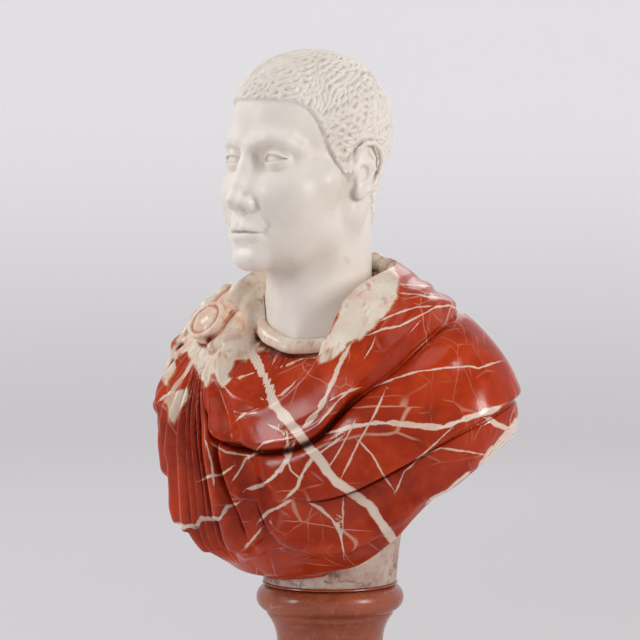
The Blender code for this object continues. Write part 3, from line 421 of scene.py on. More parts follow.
def swags(round_, up):
    """The long folds hung from the left shoulder to the brooch."""
    # The upper fold: its lip overhangs a hollow face that runs in to the crease.
    v = below(UPPER_LINE, round_, up)
    hung = between(round_, -34, 170, 14) * (1 - 0.65 * ramp(round_, 72, 98))
    face = 5.0 + 8.5 * between(round_, 37, 92, 13)
    over = 8.0 * np.exp(-np.maximum(-v - face, 0) / 24) * step_down(v + face, 1.5)
    under = 5.5 * np.exp(-np.maximum(v, 0) / 3.5) + 5.5 * np.exp(-np.maximum(v, 0) / 18)
    under = under * ramp(v, -face, 0.0)
    d = (over - under - 2.5 * bell(v, 2.4)) * hung
    d = d - 3.5 * bell(v + 19, 3.5) * between(round_, 14, 38, 9)
    # The middle fold, and the hollow under it above the lowest roll.
    v = below(LOWER_LINE, round_, up)
    under = 11.0 * (1 - 0.8 * ramp(round_, 56, 82))
    d = d + (lip(v, 20, 22, 8.0, under) - 4.0 * bell(v - 1.5, 1.8)) * between(round_, -2, 140, 9)
    d = d - 3.0 * bell(v + 34, 12) * between(round_, 20, 96, 20)
    d = d + 2.5 * bell(v + 52, 10) * between(round_, 30, 90, 16)
    roll = below(ROLL_LINE, round_, up)
    along = between(round_, -4, 74, 14)
    d = d + (8.0 * bell(roll + 12, 11) - 5.5 * bell(roll + 36, 12) * between(round_, 4, 46, 12)) * along
    d = d - 6.0 * (1 - step_down(roll)) * between(round_, -14, 62, 22)
    # The cloak's edge over the tunic, and the broad band along it.
    v = below(NECK_LINE, round_, up)
    d = d + lip(-v, 16, 12, 4.5, 2.0) * between(round_, -14, 40, 10)
    v = below(BAND_LINE, round_, up)
    d = d + 3.5 * step_down(v, 2.0) * between(round_, 22, 175, 9)
    # Shallow folds between the band and the upper crease.
    low = through(round_, UPPER_LINE)
    share = (up - low) / np.maximum(through(round_, BAND_LINE) - low, 6)
    folds = 2.6 * bell(share - 0.72, 0.15) - 1.8 * bell(share - 0.50, 0.10)
    return d + folds * between(round_, 50, 120, 20)


# Pleats that fan down from the brooch: degrees of the fan, and the height of the cloth there.
PLEATS = [
    (-66, -2), (-60, 0), (-57, -8), (-49, 0), (-46, -8), (-38, 0), (-35, -8), (-27, 0), (-24, -9), (-16, 1),
    (-13, -9),
    (-5, 2), (-2.5, -8), (2.0, -6), (5.0, 5), (8.0, 3.5), (9.3, -5), (12.0, 4.5), (13.2, -4), (15.2, 4),
    (16.4, -5),
    (17.6, 1), (18.9, -7), (20.5, 0), (24.5, 8.5), (26.0, 7.5), (28.4, -7), (29.4, -6), (31.8, 9),
    (33.6, 8.5),
    (38.5, -6), (41.0, -7), (47.0, -1), (54.0, 0),
]


def fan_of(round_, up):
    """Degrees of the fan, and how far below the brooch."""
    dx = round_ * 2.45 + 100.0
    dz = up * PER_DEGREE - 118.0
    reach = np.sqrt(dx * dx + dz * dz) + 1e-6
    return np.degrees(np.arctan2(dx, -dz)) + 0.085 * (reach - 100.0), reach


def gathers(round_, up):
    """Folds and pleats that fan down from the brooch."""
    fan, reach = fan_of(round_, up)
    at = fan + 3.0 * ramp(100 - reach, 0, 60) - 2.2 * ramp(reach, 150, 220) * ramp(fan, 24, 30)
    d = through(at, PLEATS)
    broad = ramp(fan, 16, 22)
    grow = ramp(reach, 14, 105) * (1 - broad) + ramp(reach, 60, 140) * broad
    d = d * grow * (1 - ramp(reach, 212, 252))
    # Broad triangular valley beside the brooch, over the end of the upper crease.
    v = below(UPPER_LINE, round_, up)
    return d - 7.0 * bell(fan - 38, 6.5) * between(reach, 52, 128, 30) * step_down(v + 2, 2.0)


# Lower edges of the layers on the right arm and at the front: degrees round, degrees up.
FALLS = (
    (9.0, [(-100, 2), (-88, 7), (-78, 4), (-66, 8), (-58, 12)], (-112, -50)),
    (6.5, [(-100, -18), (-84, -12), (-74, -14), (-62, -10), (-52, -4)], (-112, -46)),
    (6.5, [(-96, -38), (-74, -30), (-50, -29), (-45, -30.3), (-40, -30.2), (-32, -27), (-22, -27.3),
           (-16, -24), (-8, -18)],
     (-104, -9)),
    (5.5, [(-86, -47), (-66, -41), (-47, -41), (-33, -40.6), (-19, -41), (-14, -42.5), (-6, -39), (2, -35)],
     (-92, 4)),
    (4.5, [(-30, -49), (-12, -46), (0, -43), (9, -42.5), (19, -44), (30, -42.5), (42, -38)], (-24, 46)),
)


def falls(round_, up):
    """The layers' lower edges, each layer set in under the one over it."""
    d = np.zeros_like(round_)
    for deep, line, (first, last) in FALLS:
        v = below(line, round_, up)
        edge = step_down(v)
        raised = 0.55 * deep * edge * np.exp(-np.maximum(-v, 0) / 26.0)
        sunk = 0.45 * deep * (1 - edge) * np.exp(-np.maximum(v, 0) / 40.0)
        d = d + (raised - sunk) * between(round_, first, last, 7)
    return d


# The rear of the cut bust: how far back it reaches at each height, and how low its edge hangs over its width.
REAR = [
    (150, -62), (172, -70), (187, -76), (205, -80), (223, -80), (238, -76), (256, -66), (269, -54),
    (293, -28),
    (313, 4), (330, 26), (345, 38), (370, 50), (400, 62), (440, 80), (520, 90),
]
HEM = [
    (-240, 340), (-215, 300), (-195, 262), (-172, 230), (-150, 205), (-130, 187), (-110, 174), (-90, 166),
    (-60, 162),
    (-20, 162), (20, 166), (50, 171), (83, 179), (105, 190), (128, 205), (146, 220), (160, 237), (176, 256),
    (194, 269), (213, 293),
    (226, 318), (250, 350),
]


def shoulder_rolls(p):
    """Rope-like folds gathered over the right shoulder to the brooch."""
    rolls = (
        [(-30, 74, 462, 6), (-44, 46, 484, 8.5), (-60, 20, 494, 9), (-74, -22, 484, 9.5),
         (-76, -60, 467, 9), (-74, -90, 446, 8)],
        [(-50, 30, 466, 6), (-56, 0, 478, 7), (-64, -38, 467, 8), (-62, -64, 452, 8.5),
         (-59, -97, 427, 8.5), (-72, -116, 408, 6)],
        [(-56, 76, 452, 6), (-70, 40, 480, 8.5), (-84, 4, 478, 8.5), (-88, -40, 467, 8.5),
         (-95, -72, 448, 7)],
        [(-78, 72, 446, 6), (-90, 34, 472, 8.5), (-98, 0, 471, 9), (-110, -40, 462, 9), (-122, -58, 447, 8),
         (-130, -76, 424, 6)],
        [(-104, 66, 436, 5), (-114, 30, 460, 8), (-124, -10, 454, 8), (-138, -54, 436, 7),
         (-150, -76, 406, 6), (-158, -84, 378, 4)],
    )
    out = bars(p, rolls[0], 8)
    for roll in rolls[1:]:
        out = blend_min(out, bars(p, roll, 8), 0.8)
    return out


def collar(p):
    """The rounded edge of the cloak, from behind the neck down to the breast."""
    line = [
        (-52, 50, 470, 5), (-40, 50, 486, 7), (-8, 60, 492, 7.5), (24, 54, 497, 7.5), (48, 42, 490, 7),
        (68, 26, 484, 7), (86, -6, 479, 6.5), (90, -34, 470, 5.5),
        (85, -60, 458, 5), (72, -78, 437, 4.5), (64, -96, 413, 4), (60, -118, 387, 3),
    ]
    return bars(p, line, 12)


# The ring lies in a plane that falls to the front and to the left.
RING_FALL_FORWARD = 0.52
RING_FALL_LEFT = 0.22
RING_BELOW_CHIN = 41.0
RING_RADIUS = 6.6


def over_ring(p):
    """Height over the plane of the tunic's rolled neckline."""
    x, y = p[:, 0] - NECK_CENTRE[0], p[:, 1] - NECK_CENTRE[1]
    return p[:, 2] - CHIN + RING_BELOW_CHIN - RING_FALL_FORWARD * y + RING_FALL_LEFT * x


def tunic_ring(p):
    """The tunic's rolled neckline, close round the neck."""
    out = neck(to_head(p)) * HEAD_SCALE - RING_RADIUS + 0.8
    over = over_ring(p) / 1.143 + 1.0
    return np.sqrt(out * out + over * over) - RING_RADIUS


def over_tunic(p):
    """Height over the tunic, which goes down from its ring to the cloak's edge."""
    x, y = p[:, 0] - NECK_CENTRE[0], p[:, 1] - NECK_CENTRE[1]
    out = np.sqrt(x * x + y * y)
    round_ = np.degrees(np.arctan2(x, -y))
    fall = 0.45 * (1 - ramp(round_, 4, 34)) * np.maximum(out - 66.0, 0.0)
    return (over_ring(p) + 7.0 + fall) * 0.78


def brooch(p):
    q = p - np.array([-86.0, -102.0, 432.0], np.float32)
    axis = np.array([-0.18, -0.78, 0.60])
    along = q @ (axis / np.linalg.norm(axis)).astype(np.float32)
    out = np.sqrt(np.maximum((q * q).sum(1) - along * along, 0))
    disc = np.maximum(out - 23.0, np.abs(along) - 7.0)
    dome = ellipsoid(np.stack([out, along, out * 0], 1), (0, 5, 0), (18, 7.5, 18))
    ring = np.sqrt((out - 21.0) ** 2 + (along - 6.5) ** 2) - 2.8
    return blend_min(blend_min(disc, ring, 1.5), dome, 1.5)


def stem(p):
    """The strut left standing up the back of the bust, down to its round foot."""
    z = p[:, 2]
    foot = STEM_FOOT_RADIUS / MM
    sides = [
        (140, foot - 1), (150, foot), (185, foot + 3.5), (220, foot + 10.5), (300, foot + 8),
        (380, foot - 2),
    ]
    side = through(z, sides)
    rear = through(z, [(140, foot - 1), (150, foot), (220, foot + 2), (300, 62), (350, 54), (420, 50)])
    y = np.where(p[:, 1] > 0, p[:, 1] * side / rear, p[:, 1])
    f = (np.sqrt(p[:, 0] ** 2 + y * y) - side) * 0.9
    return blend_max(f, z - 400, 20)


def cloth_field(p):
    q = p - np.array(CORE, np.float32)
    reach = np.sqrt((q * q).sum(1)) + 1e-6
    round_ = np.degrees(np.arctan2(q[:, 0], -q[:, 1]))
    up = np.degrees(np.arcsin(np.clip(q[:, 2] / reach, -1, 1)))
    block = torso(p)
    over_hem = p[:, 2] - through(p[:, 0], HEM)
    f = block - swags(round_, up) - gathers(round_, up) * ramp(over_hem, -8, 34) - falls(round_, up)
    f = blend_max(f, (p[:, 1] - through(p[:, 2], REAR)) * 0.75, 4.0)
    f = blend_max(f, -over_hem * 0.8, 4.0)
    inward = -below(NECK_LINE, round_, up) * reach / 150.0
    side = block + inward * (0.75 + 5.0 * ramp(round_, 0, 30)) + 3.0
    f = blend_max(f, np.minimum(np.minimum(over_tunic(p), inward), side), 3.0)
    f = blend_min(f, shoulder_rolls(p), 3.0)
    f = blend_min(f, brooch(p), 2.0)
    f = blend_min(f, collar(p), 5.0)
    return blend_min(f, tunic_ring(p), 1.5)


def bust_field(p):
    """The cloth with the stem under it, cut flat at the foot and hollowed for the neck."""
    f = blend_min(cloth_field(p), stem(p), 12.0)
    f = np.maximum(f, STEM_FOOT - p[:, 2])
    plug = np.maximum(head_shape(to_head(p)) * HEAD_SCALE - NECK_GAP / MM, NECK_FLOOR - p[:, 2])
    return np.maximum(f, -plug)


# From fields to meshes.
BLOCK = 4
BATCH = 60000
WORKERS = 4
CORNERS = [(i, j, k) for i in (0, 1) for j in (0, 1) for k in (0, 1)]
# How much farther than its value a field's surface may lie.
FIELD_SLACK = 5.0


def in_batches(field, points):
    parts = [points[i:i + BATCH].astype(np.float32) for i in range(0, len(points), BATCH)]
    with ThreadPoolExecutor(WORKERS) as pool:
        return np.concatenate(list(pool.map(field, parts)))


def window(values, shape, corner):
    """The part of a grid that begins at a corner."""
    return values[tuple(slice(s, s + n) for s, n in zip(corner, shape))]


def enlarged(values):
    """Each value of a coarse grid repeated over its block."""
    for axis in range(3):
        values = np.repeat(values, BLOCK, axis)
    return values


def inside_corners(inside):
    """How many corners of each cell are inside."""
    shape = [n - 1 for n in inside.shape]
    return sum(window(inside, shape, corner).astype(np.int8) for corner in CORNERS)


def sample(field, low, high, step):
    """Values of the field on a grid, worked out only near its surface."""
    n = [int(math.ceil((b - a) / step / BLOCK)) for a, b in zip(low, high)]
    axes = [low[i] + step * BLOCK * np.arange(n[i] + 1) for i in range(3)]
    coarse = np.stack(np.meshgrid(*axes, indexing="ij"), -1).reshape(-1, 3)
    coarse = in_batches(field, coarse).reshape([k + 1 for k in n])
    least = np.min([np.abs(window(coarse, n, corner)) for corner in CORNERS], 0)
    shape = [k * BLOCK + 1 for k in n]
    full = window(enlarged(np.sign(coarse)), shape, (0, 0, 0)).astype(np.float32)
    near = enlarged(least < step * BLOCK + FIELD_SLACK)
    mask = np.zeros(shape, bool)
    for corner in CORNERS:
        part = window(mask, near.shape, corner)
        part |= near
    index = np.argwhere(mask)
    full[tuple(index.T)] = in_batches(field, index * step + np.array(low))
    return full


def plain_cells(values, step):
    """Changes the least values so that no cell is crossed by two sheets, which would touch along an edge."""
    tiny = 0.02 * step
    for _ in range(40):
        changed = 0
        inside = values < 0
        for axis in range(3):
            u = np.eye(3, dtype=int)[(axis + 1) % 3]
            v = np.eye(3, dtype=int)[(axis + 2) % 3]
            size = np.array(inside.shape) - u - v
            a, b, c, d = [window(inside, size, start) for start in (0 * u, u, u + v, v)]
            at = np.argwhere((a == c) & (b == d) & (a != b))
            changed += len(at)
            for start, other in ((0 * u, u + v), (u, v)):
                first = tuple((at + start).T)
                second = tuple((at + other).T)
                out = values[first] >= 0
                nearer = values[first] < values[second]
                for place, chosen in ((first, out & nearer), (second, out & ~nearer)):
                    values[tuple(axis_[chosen] for axis_ in place)] = -tiny
        count = inside_corners(values < 0)
        for few, sign in ((2, -1), (6, 1)):
            cells = np.argwhere(count == few)
            for corner in CORNERS[:4]:
                first = tuple((cells + corner).T)
                second = tuple((cells + 1 - np.array(corner)).T)
                odd = (values[first] * sign > 0) & (values[second] * sign > 0)
                odd |= (values[first] * sign >= 0) & (values[second] * sign >= 0) if sign > 0 else False
                values[tuple(axis_[odd] for axis_ in first)] = -sign * tiny
                changed += int(odd.sum())
        if not changed:
            break
    return values


def skin(values, low, step):
    """One point in every cell the surface crosses, and a four-sided face over every crossed edge."""
    inside = values < 0
    count = inside_corners(inside)
    cells = np.argwhere((count > 0) & (count < 8))
    number = np.full(count.shape, -1, np.int64)
    number[tuple(cells.T)] = np.arange(len(cells))
    total = np.zeros((len(cells), 3))
    hits = np.zeros(len(cells))
    for a in CORNERS:
        for axis in range(3):
            if a[axis]:
                continue
            b = list(a)
            b[axis] = 1
            va = values[tuple((cells + a).T)].astype(float)
            vb = values[tuple((cells + b).T)].astype(float)
            cross = (va < 0) != (vb < 0)
            point = np.repeat(np.array(a, float)[None], len(cells), 0)
            point[:, axis] += np.where(cross, va / np.where(cross, va - vb, 1.0), 0.0)
            total[cross] += point[cross]
            hits += cross
    points = (cells + total / hits[:, None]) * step + np.array(low)
    faces = []
    for axis in range(3):
        u = (axis + 1) % 3
        v = (axis + 2) % 3
        first = [slice(1, -1)] * 3
        second = [slice(1, -1)] * 3
        first[axis] = slice(0, -1)
        second[axis] = slice(1, None)
        at = np.argwhere(inside[tuple(first)] != inside[tuple(second)])
        at[:, u] += 1
        at[:, v] += 1
        ring = []
        for du, dv in ((0, 0), (-1, 0), (-1, -1), (0, -1)):
            cell = at.copy()
            cell[:, u] += du
            cell[:, v] += dv
            ring.append(number[tuple(cell.T)])
        ring = np.stack(ring, 1)
        outward = inside[tuple(at.T)]
        ring[~outward] = ring[~outward][:, ::-1]
        faces.append(ring)
    return points, np.concatenate(faces)


def settle(field, points, step, rounds):
    """Moves the points onto the surface and gives its normals there."""
    for turn in range(rounds + 1):
        slope = np.empty(points.shape)
        for axis in range(3):
            shift = np.zeros(3)
            shift[axis] = 0.2
            slope[:, axis] = (in_batches(field, points + shift) - in_batches(field, points - shift)) / 0.4
        size = np.sqrt((slope ** 2).sum(1)) + 1e-9
        normals = slope / size[:, None]
        if turn < rounds:
            move = np.clip(in_batches(field, points) / np.maximum(size, 0.3), -0.4 * step, 0.4 * step)
            points = points - normals * move[:, None]
    return points, normals


def hair_depth(points, normals):
    """How deep a point of the head lies: between locks of hair, or in a recess of the face."""
    smooth = in_batches(head_field, points)
    between_locks = 1.0 - (smooth / (LOCK_RELIEF * HEAD_SCALE) + 0.5) / 0.6
    between_locks = np.clip(between_locks, 0, 1) * ramp(over_hairline(to_head(points)), 0.0, 6.0)
    recess = 1.0 - in_batches(head_field, points + normals * 4.0) / 4.0
    return np.maximum(between_locks, np.clip(recess, 0, 1) * 0.7)


HEAD_BOX = ((-112, -158, 364), (104, 92, 736))
BUST_BOX = ((-248, -184, 142), (256, 116, 524))


def added(name, data):
    obj = bpy.data.objects.new(name, data)
    bpy.context.scene.collection.objects.link(obj)
    return obj


def work_in(obj):
    """The modifiers of an object worked into its mesh."""
    bpy.context.view_layer.update()
    mesh = bpy.data.meshes.new_from_object(obj.evaluated_get(bpy.context.evaluated_depsgraph_get()))
    obj.modifiers.clear()
    obj.data = mesh


def lathe(name, profile, steps):
    """Radii and heights turned about the z axis."""
    mesh = bpy.data.meshes.new(name)
    mesh.from_pydata([(r, 0.0, z) for r, z in profile], [(i, i + 1) for i in range(len(profile) - 1)], [])
    obj = added(name, mesh)
    turn = obj.modifiers.new("turned", "SCREW")
    turn.axis = "Z"
    turn.steps = turn.render_steps = steps
    turn.use_merge_vertices = True
    turn.merge_threshold = 0.00001
    return obj


def carve(name, field, low, high, step, relief=None):
    """The field's surface as an object of at most MOST_TRIANGLES."""
    values = plain_cells(sample(field, low, high, step), step)
    points, faces = skin(values, low, step)
    points, normals = settle(field, points, step, 2)
    if relief:
        points = relief(points, normals)
    mesh = bpy.data.meshes.new(name)
    mesh.vertices.add(len(points))
    mesh.vertices.foreach_set("co", (points * MM).astype(np.float32).ravel())
    corners = np.concatenate([faces[:, [0, 1, 2]], faces[:, [0, 2, 3]]]).astype(np.int32)
    mesh.loops.add(corners.size)
    mesh.loops.foreach_set("vertex_index", corners.ravel())
    mesh.polygons.add(len(corners))
    mesh.polygons.foreach_set("loop_start", np.arange(0, corners.size, 3, dtype=np.int32))
    mesh.update(calc_edges=True)
    obj = added(name, mesh)
    if len(corners) > MOST_TRIANGLES:
        fewer = obj.modifiers.new("fewer_faces", "DECIMATE")
        fewer.ratio = MOST_TRIANGLES / len(corners)
        work_in(obj)
    obj.data.shade_smooth()
    return obj


def places(obj):
    """The object's points in millimetres, with their normals."""
    count = len(obj.data.vertices)
    points = np.empty(count * 3, np.float32)
    obj.data.vertices.foreach_get("co", points)
    normals = np.empty(count * 3, np.float32)
    obj.data.vertex_normals.foreach_get("vector", normals)
    return points.reshape(-1, 3) / MM, normals.reshape(-1, 3)


def keep(obj, name, values):
    """Stores numbers, or triples of numbers, on the points of a mesh."""
    values = np.asarray(values, np.float32)
    if values.ndim == 1:
        obj.data.attributes.new(name, "FLOAT", "POINT").data.foreach_set("value", values)
    else:
        obj.data.attributes.new(name, "FLOAT_VECTOR", "POINT").data.foreach_set("vector", values.ravel())


# The view in which the veins of the stone were laid out, as sheets that run on through the block.
VIEW_AZIMUTH = 35.0
VIEW_PITCH = 2.5
VIEW_DISTANCE = 2600.0
VIEW_SCALE = 0.919
VIEW_SIZE = 640
VIEW_AIM_SIDE = -10.0 / VIEW_SCALE
VIEW_AIM_HEIGHT = 434.4


def view_axes():
    a = math.radians(VIEW_AZIMUTH)
    e = math.radians(VIEW_PITCH)
    back = np.array([math.sin(a) * math.cos(e), -math.cos(a) * math.cos(e), math.sin(e)])
    right = np.array([math.cos(a), math.sin(a), 0.0])
    aim = right * VIEW_AIM_SIDE + np.array([0, 0, VIEW_AIM_HEIGHT])
    return aim, back, right, np.cross(back, right)


def laid_out(points):
    """Where points lie in that view: right of its left edge, and down from its top edge."""
    aim, back, right, up = view_axes()
    q = points - (aim + back * VIEW_DISTANCE)
    depth = -(q @ back)
    f = VIEW_SCALE * VIEW_DISTANCE
    return np.stack([VIEW_SIZE / 2 + f * (q @ right) / depth, VIEW_SIZE / 2 - f * (q @ up) / depth], 1)


def off_line(at, line):
    """Signed distance to a line of points, and how far along it the nearest place is."""
    best = np.full(len(at), 1e9)
    signed = np.full(len(at), 1e9)
    along = np.zeros(len(at))
    line = np.array(line, float)
    for i in range(len(line) - 1):
        d = line[i + 1] - line[i]
        t = ((at - line[i]) @ d) / (d @ d)
        c = np.clip(t, 0, 1)
        q = at - line[i] - c[:, None] * d
        dist = np.sqrt((q * q).sum(1))
        side = d[0] * q[:, 1] - d[1] * q[:, 0]
        closer = dist < best
        best[closer] = dist[closer]
        signed[closer] = (np.where(side < 0, -dist, dist))[closer]
        along[closer] = ((i + c) / (len(line) - 1))[closer]
    return best, signed, along


def vein_layer(at, veins):
    """Each point's signed distance to its nearest vein, and that vein's half width and place along it."""
    out = np.zeros((len(at), 3))
    nearest = np.full(len(at), 1e9)
    for wide_start, wide_end, line in veins:
        best, signed, along = off_line(at, line)
        near = best < nearest
        nearest[near] = best[near]
        half = (wide_start + (wide_end - wide_start) * along) / 2
        taper = np.minimum(1, 0.35 + 9 * np.minimum(along, 1 - along))
        half = half * taper - np.maximum(best - half - 4.0, 0)
        out[near] = np.stack([signed, half, along], 1)[near]
    return out / np.array([VIEW_SCALE, VIEW_SCALE, 1.0])


# Veins: width at the start, width at the end, and the points between.
BROAD_VEINS = [
    (11, 9, [(246, 342), (251, 352), (263, 373), (269, 386), (273, 402), (286, 419), (299, 433), (308, 447),
             (319, 459),
             (327, 471), (339, 484), (350, 492), (369, 505), (382, 523), (396, 545), (404, 580)]),
    (9, 14, [(478, 470), (505, 440), (540, 400)]),
]
VEIN_LAYERS = [
    [
        (4, 6, [(350, 345), (341, 360), (335, 376), (327, 394), (319, 410), (303, 427)]),
        (4, 7.5, [(325, 434), (350, 427), (375, 423), (395, 423), (416, 426), (444, 427), (466, 419),
                  (494, 409), (500, 406)]),
        (3, 3.5, [(286, 498), (297, 488), (302, 474), (311, 460), (323, 450), (343, 436)]),
        (5, 4.5, [(173, 524), (184, 527), (196, 526), (202, 518), (219, 519), (227, 507), (237, 503)]),
        (3, 3, [(245, 548), (261, 529)]),
        (5, 3, [(160, 400), (172, 392), (186, 372), (198, 352)]),
    ],
    [
        (2.4, 2.2, [(376, 386), (396, 378), (418, 371), (437, 369), (470, 366), (478, 368), (501, 361)]),
        (2.2, 2.2, [(384, 392), (376, 412), (360, 440), (341, 478)]),
        (3.2, 3.2, [(259, 522), (268, 512), (278, 508), (291, 500)]),
        (2.2, 2.2, [(233, 380), (250, 374), (262, 371)]),
        (2.6, 2.2, [(200, 481), (210, 476), (221, 475), (233, 466)]),
        (3, 5, [(426, 503), (447, 490), (470, 472)]),
        (2.4, 2.4, [(236, 421), (244, 414), (257, 412)]),
    ],
    [
        (2.2, 2.4, [(368, 335), (384, 329), (400, 326), (419, 316), (436, 307), (450, 305), (464, 313)]),
        (3, 3.4, [(309, 503), (320, 508), (332, 519), (341, 534), (344, 556)]),
        (2.2, 2.4, [(213, 444), (226, 452), (239, 454), (252, 456), (262, 444), (272, 440), (291, 438)]),
        (3.4, 7, [(247, 489), (262, 485), (274, 477), (286, 462), (294, 444)]),
        (7, 3, [(487, 419), (500, 426), (514, 431)]),
        (2, 2, [(343, 500), (343, 536)]),
    ],
    [
        (2.2, 2, [(381, 320), (396, 314), (416, 307), (432, 306)]),
        (2, 2, [(400, 284), (415, 285), (430, 286)]),
        (2, 2, [(355, 421), (342, 446), (326, 472)]),
        (2, 2, [(286, 429), (288, 442), (284, 452), (291, 470), (302, 480)]),
        (2.4, 2.2, [(268, 424), (282, 432), (289, 446)]),
        (2, 2, [(396, 492), (404, 472), (430, 448), (452, 428)]),
        (2, 2, [(360, 388), (341, 394), (330, 400)]),
        (2.2, 2.2, [(268, 370), (285, 366), (303, 358), (318, 353)]),
    ],
    [
        (2, 2, [(400, 293), (420, 295), (438, 298)]),
        (2, 2, [(366, 356), (372, 346), (375, 338)]),
        (2, 2, [(352, 388), (337, 402), (318, 424)]),
        (2, 2.4, [(296, 381), (280, 396), (262, 400)]),
        (2, 2, [(420, 457), (440, 448), (470, 452), (490, 456)]),
        (2, 2, [(358, 440), (372, 455), (380, 470), (394, 490)]),
        (2.4, 2.4, [(205, 440), (212, 462), (214, 486)]),
        (2, 2, [(233, 480), (240, 470), (246, 458), (262, 452)]),
    ],
]
# Cream areas of the stone: outlines in the same view.
PALE_AREAS = [
    [(206, 276), (262, 258), (274, 262), (276, 332), (300, 345), (345, 335), (350, 350), (300, 358),
     (262, 352), (244, 350), (250, 358),
     (236, 362), (228, 376), (242, 380), (222, 387), (214, 374), (206, 386), (196, 372), (188, 352),
     (176, 356), (182, 330)],
    [(360, 250), (388, 255), (396, 266), (400, 284), (398, 297), (388, 311), (376, 325), (362, 339),
     (350, 345), (338, 353),
     (325, 362), (315, 369), (322, 350), (328, 335), (338, 310), (350, 285)],
    [(162, 402), (172, 392), (185, 388), (190, 396), (184, 404), (174, 424), (168, 420), (170, 404)],
    [(168, 352), (178, 346), (176, 370), (166, 384), (162, 376)],
]


def off_outline(at, outline):
    """Signed distance to a closed outline, below nought inside."""
    best, _, _ = off_line(at, list(outline) + [outline[0]])
    inside = np.zeros(len(at), bool)
    for (x0, y0), (x1, y1) in zip(outline, list(outline[1:]) + [outline[0]]):
        spans = (y0 > at[:, 1]) != (y1 > at[:, 1])
        cross = x0 + (at[:, 1] - y0) * (x1 - x0) / ((y1 - y0) or 1e-9)
        inside ^= spans & (at[:, 0] < cross)
    return np.where(inside, -best, best)


# Material nodes.
def srgb(*parts):
    linear = [((c / 255 + 0.055) / 1.055) ** 2.4 if c > 10 else c / 255 / 12.92 for c in parts]
    return (*linear, 1.0)


class Nodes:
    """Short ways to make and join shader nodes."""

    def __init__(self, name):
        self.material = bpy.data.materials.new(name)
        self.material.use_nodes = True
        self.tree = self.material.node_tree
        self.shader = self.tree.nodes["Principled BSDF"]
        self.place = self.new("ShaderNodeTexCoord").outputs["Object"]

    def new(self, kind, **settings):
        node = self.tree.nodes.new(kind)
        for key, value in settings.items():
            setattr(node, key, value)
        return node

    def join(self, value, socket):
        if isinstance(value, bpy.types.NodeSocket):
            self.tree.links.new(value, socket)
        else:
            socket.default_value = value

    def math(self, operation, a, b=0.0):
        node = self.new("ShaderNodeMath", operation=operation)
        self.join(a, node.inputs[0])
        self.join(b, node.inputs[1])
        return node.outputs[0]

    def plus(self, a, b):
        return self.math("ADD", a, b)

    def less(self, a, b):
        return self.math("SUBTRACT", a, b)

    def times(self, a, b):
        return self.math("MULTIPLY", a, b)

    def vector(self, operation, a, b):
        node = self.new("ShaderNodeVectorMath", operation=operation)
        self.join(a, node.inputs[0])
        self.join(b, node.inputs["Scale" if operation == "SCALE" else 1])
        return node.outputs[0]

    def noise(self, scale, detail=3.0, rough=0.5, where=None, warp=0.0, output="Fac"):
        node = self.new("ShaderNodeTexNoise")
        self.join(where or self.place, node.inputs["Vector"])
        for key, value in (("Scale", scale), ("Detail", detail), ("Roughness", rough),
                           ("Distortion", warp)):
            node.inputs[key].default_value = value
        return node.outputs[output]

    def moved(self, offset, amount=0.0, scale=1.0):
        """The place, shifted, and stirred by noise."""
        place = self.vector("ADD", self.place, offset)
        if not amount:
            return place
        return self.vector("ADD", place, self.vector("SCALE", self.noise(scale, output="Color"), amount))

    def cracks(self, where, scale, low, high):
        """One on the borders of cells, and nought beside them."""
        cell = self.new("ShaderNodeTexVoronoi", feature="DISTANCE_TO_EDGE")
        self.join(where, cell.inputs["Vector"])
        cell.inputs["Scale"].default_value = scale
        return self.step(cell.outputs["Distance"], low, high, 1.0, 0.0)

    def step(self, value, low, high, to_low=0.0, to_high=1.0):
        node = self.new("ShaderNodeMapRange", interpolation_type="SMOOTHSTEP")
        sockets = ("Value", "From Min", "From Max", "To Min", "To Max")
        for key, number in zip(sockets, (value, low, high, to_low, to_high)):
            self.join(number, node.inputs[key])
        return node.outputs[0]

    def mix(self, share, a, b, kind="MIX"):
        node = self.new("ShaderNodeMix", data_type="RGBA", blend_type=kind)
        self.join(share, node.inputs["Factor"])
        self.join(a, node.inputs[6])
        self.join(b, node.inputs[7])
        return node.outputs[2]

    def wash(self, under, over, value, low, high, most=1.0):
        """One colour laid over another where a value climbs from low to high."""
        return self.mix(self.step(value, low, high, 0.0, most), under, over)

    def kept(self, name, output="Fac"):
        return self.new("ShaderNodeAttribute", attribute_name=name).outputs[output]

    def split(self, vector):
        node = self.new("ShaderNodeSeparateXYZ")
        self.join(vector, node.inputs[0])
        return node.outputs

    def bump(self, height, distance, strength=1.0):
        node = self.new("ShaderNodeBump")
        node.inputs["Strength"].default_value = strength
        node.inputs["Distance"].default_value = distance
        self.join(height, node.inputs["Height"])
        self.join(node.outputs[0], self.shader.inputs["Normal"])

    def finish(self, colour, roughness, **constants):
        self.join(colour, self.shader.inputs["Base Color"])
        self.join(roughness, self.shader.inputs["Roughness"])
        for key, value in constants.items():
            self.shader.inputs[key.replace("_", " ")].default_value = value
        return self.material


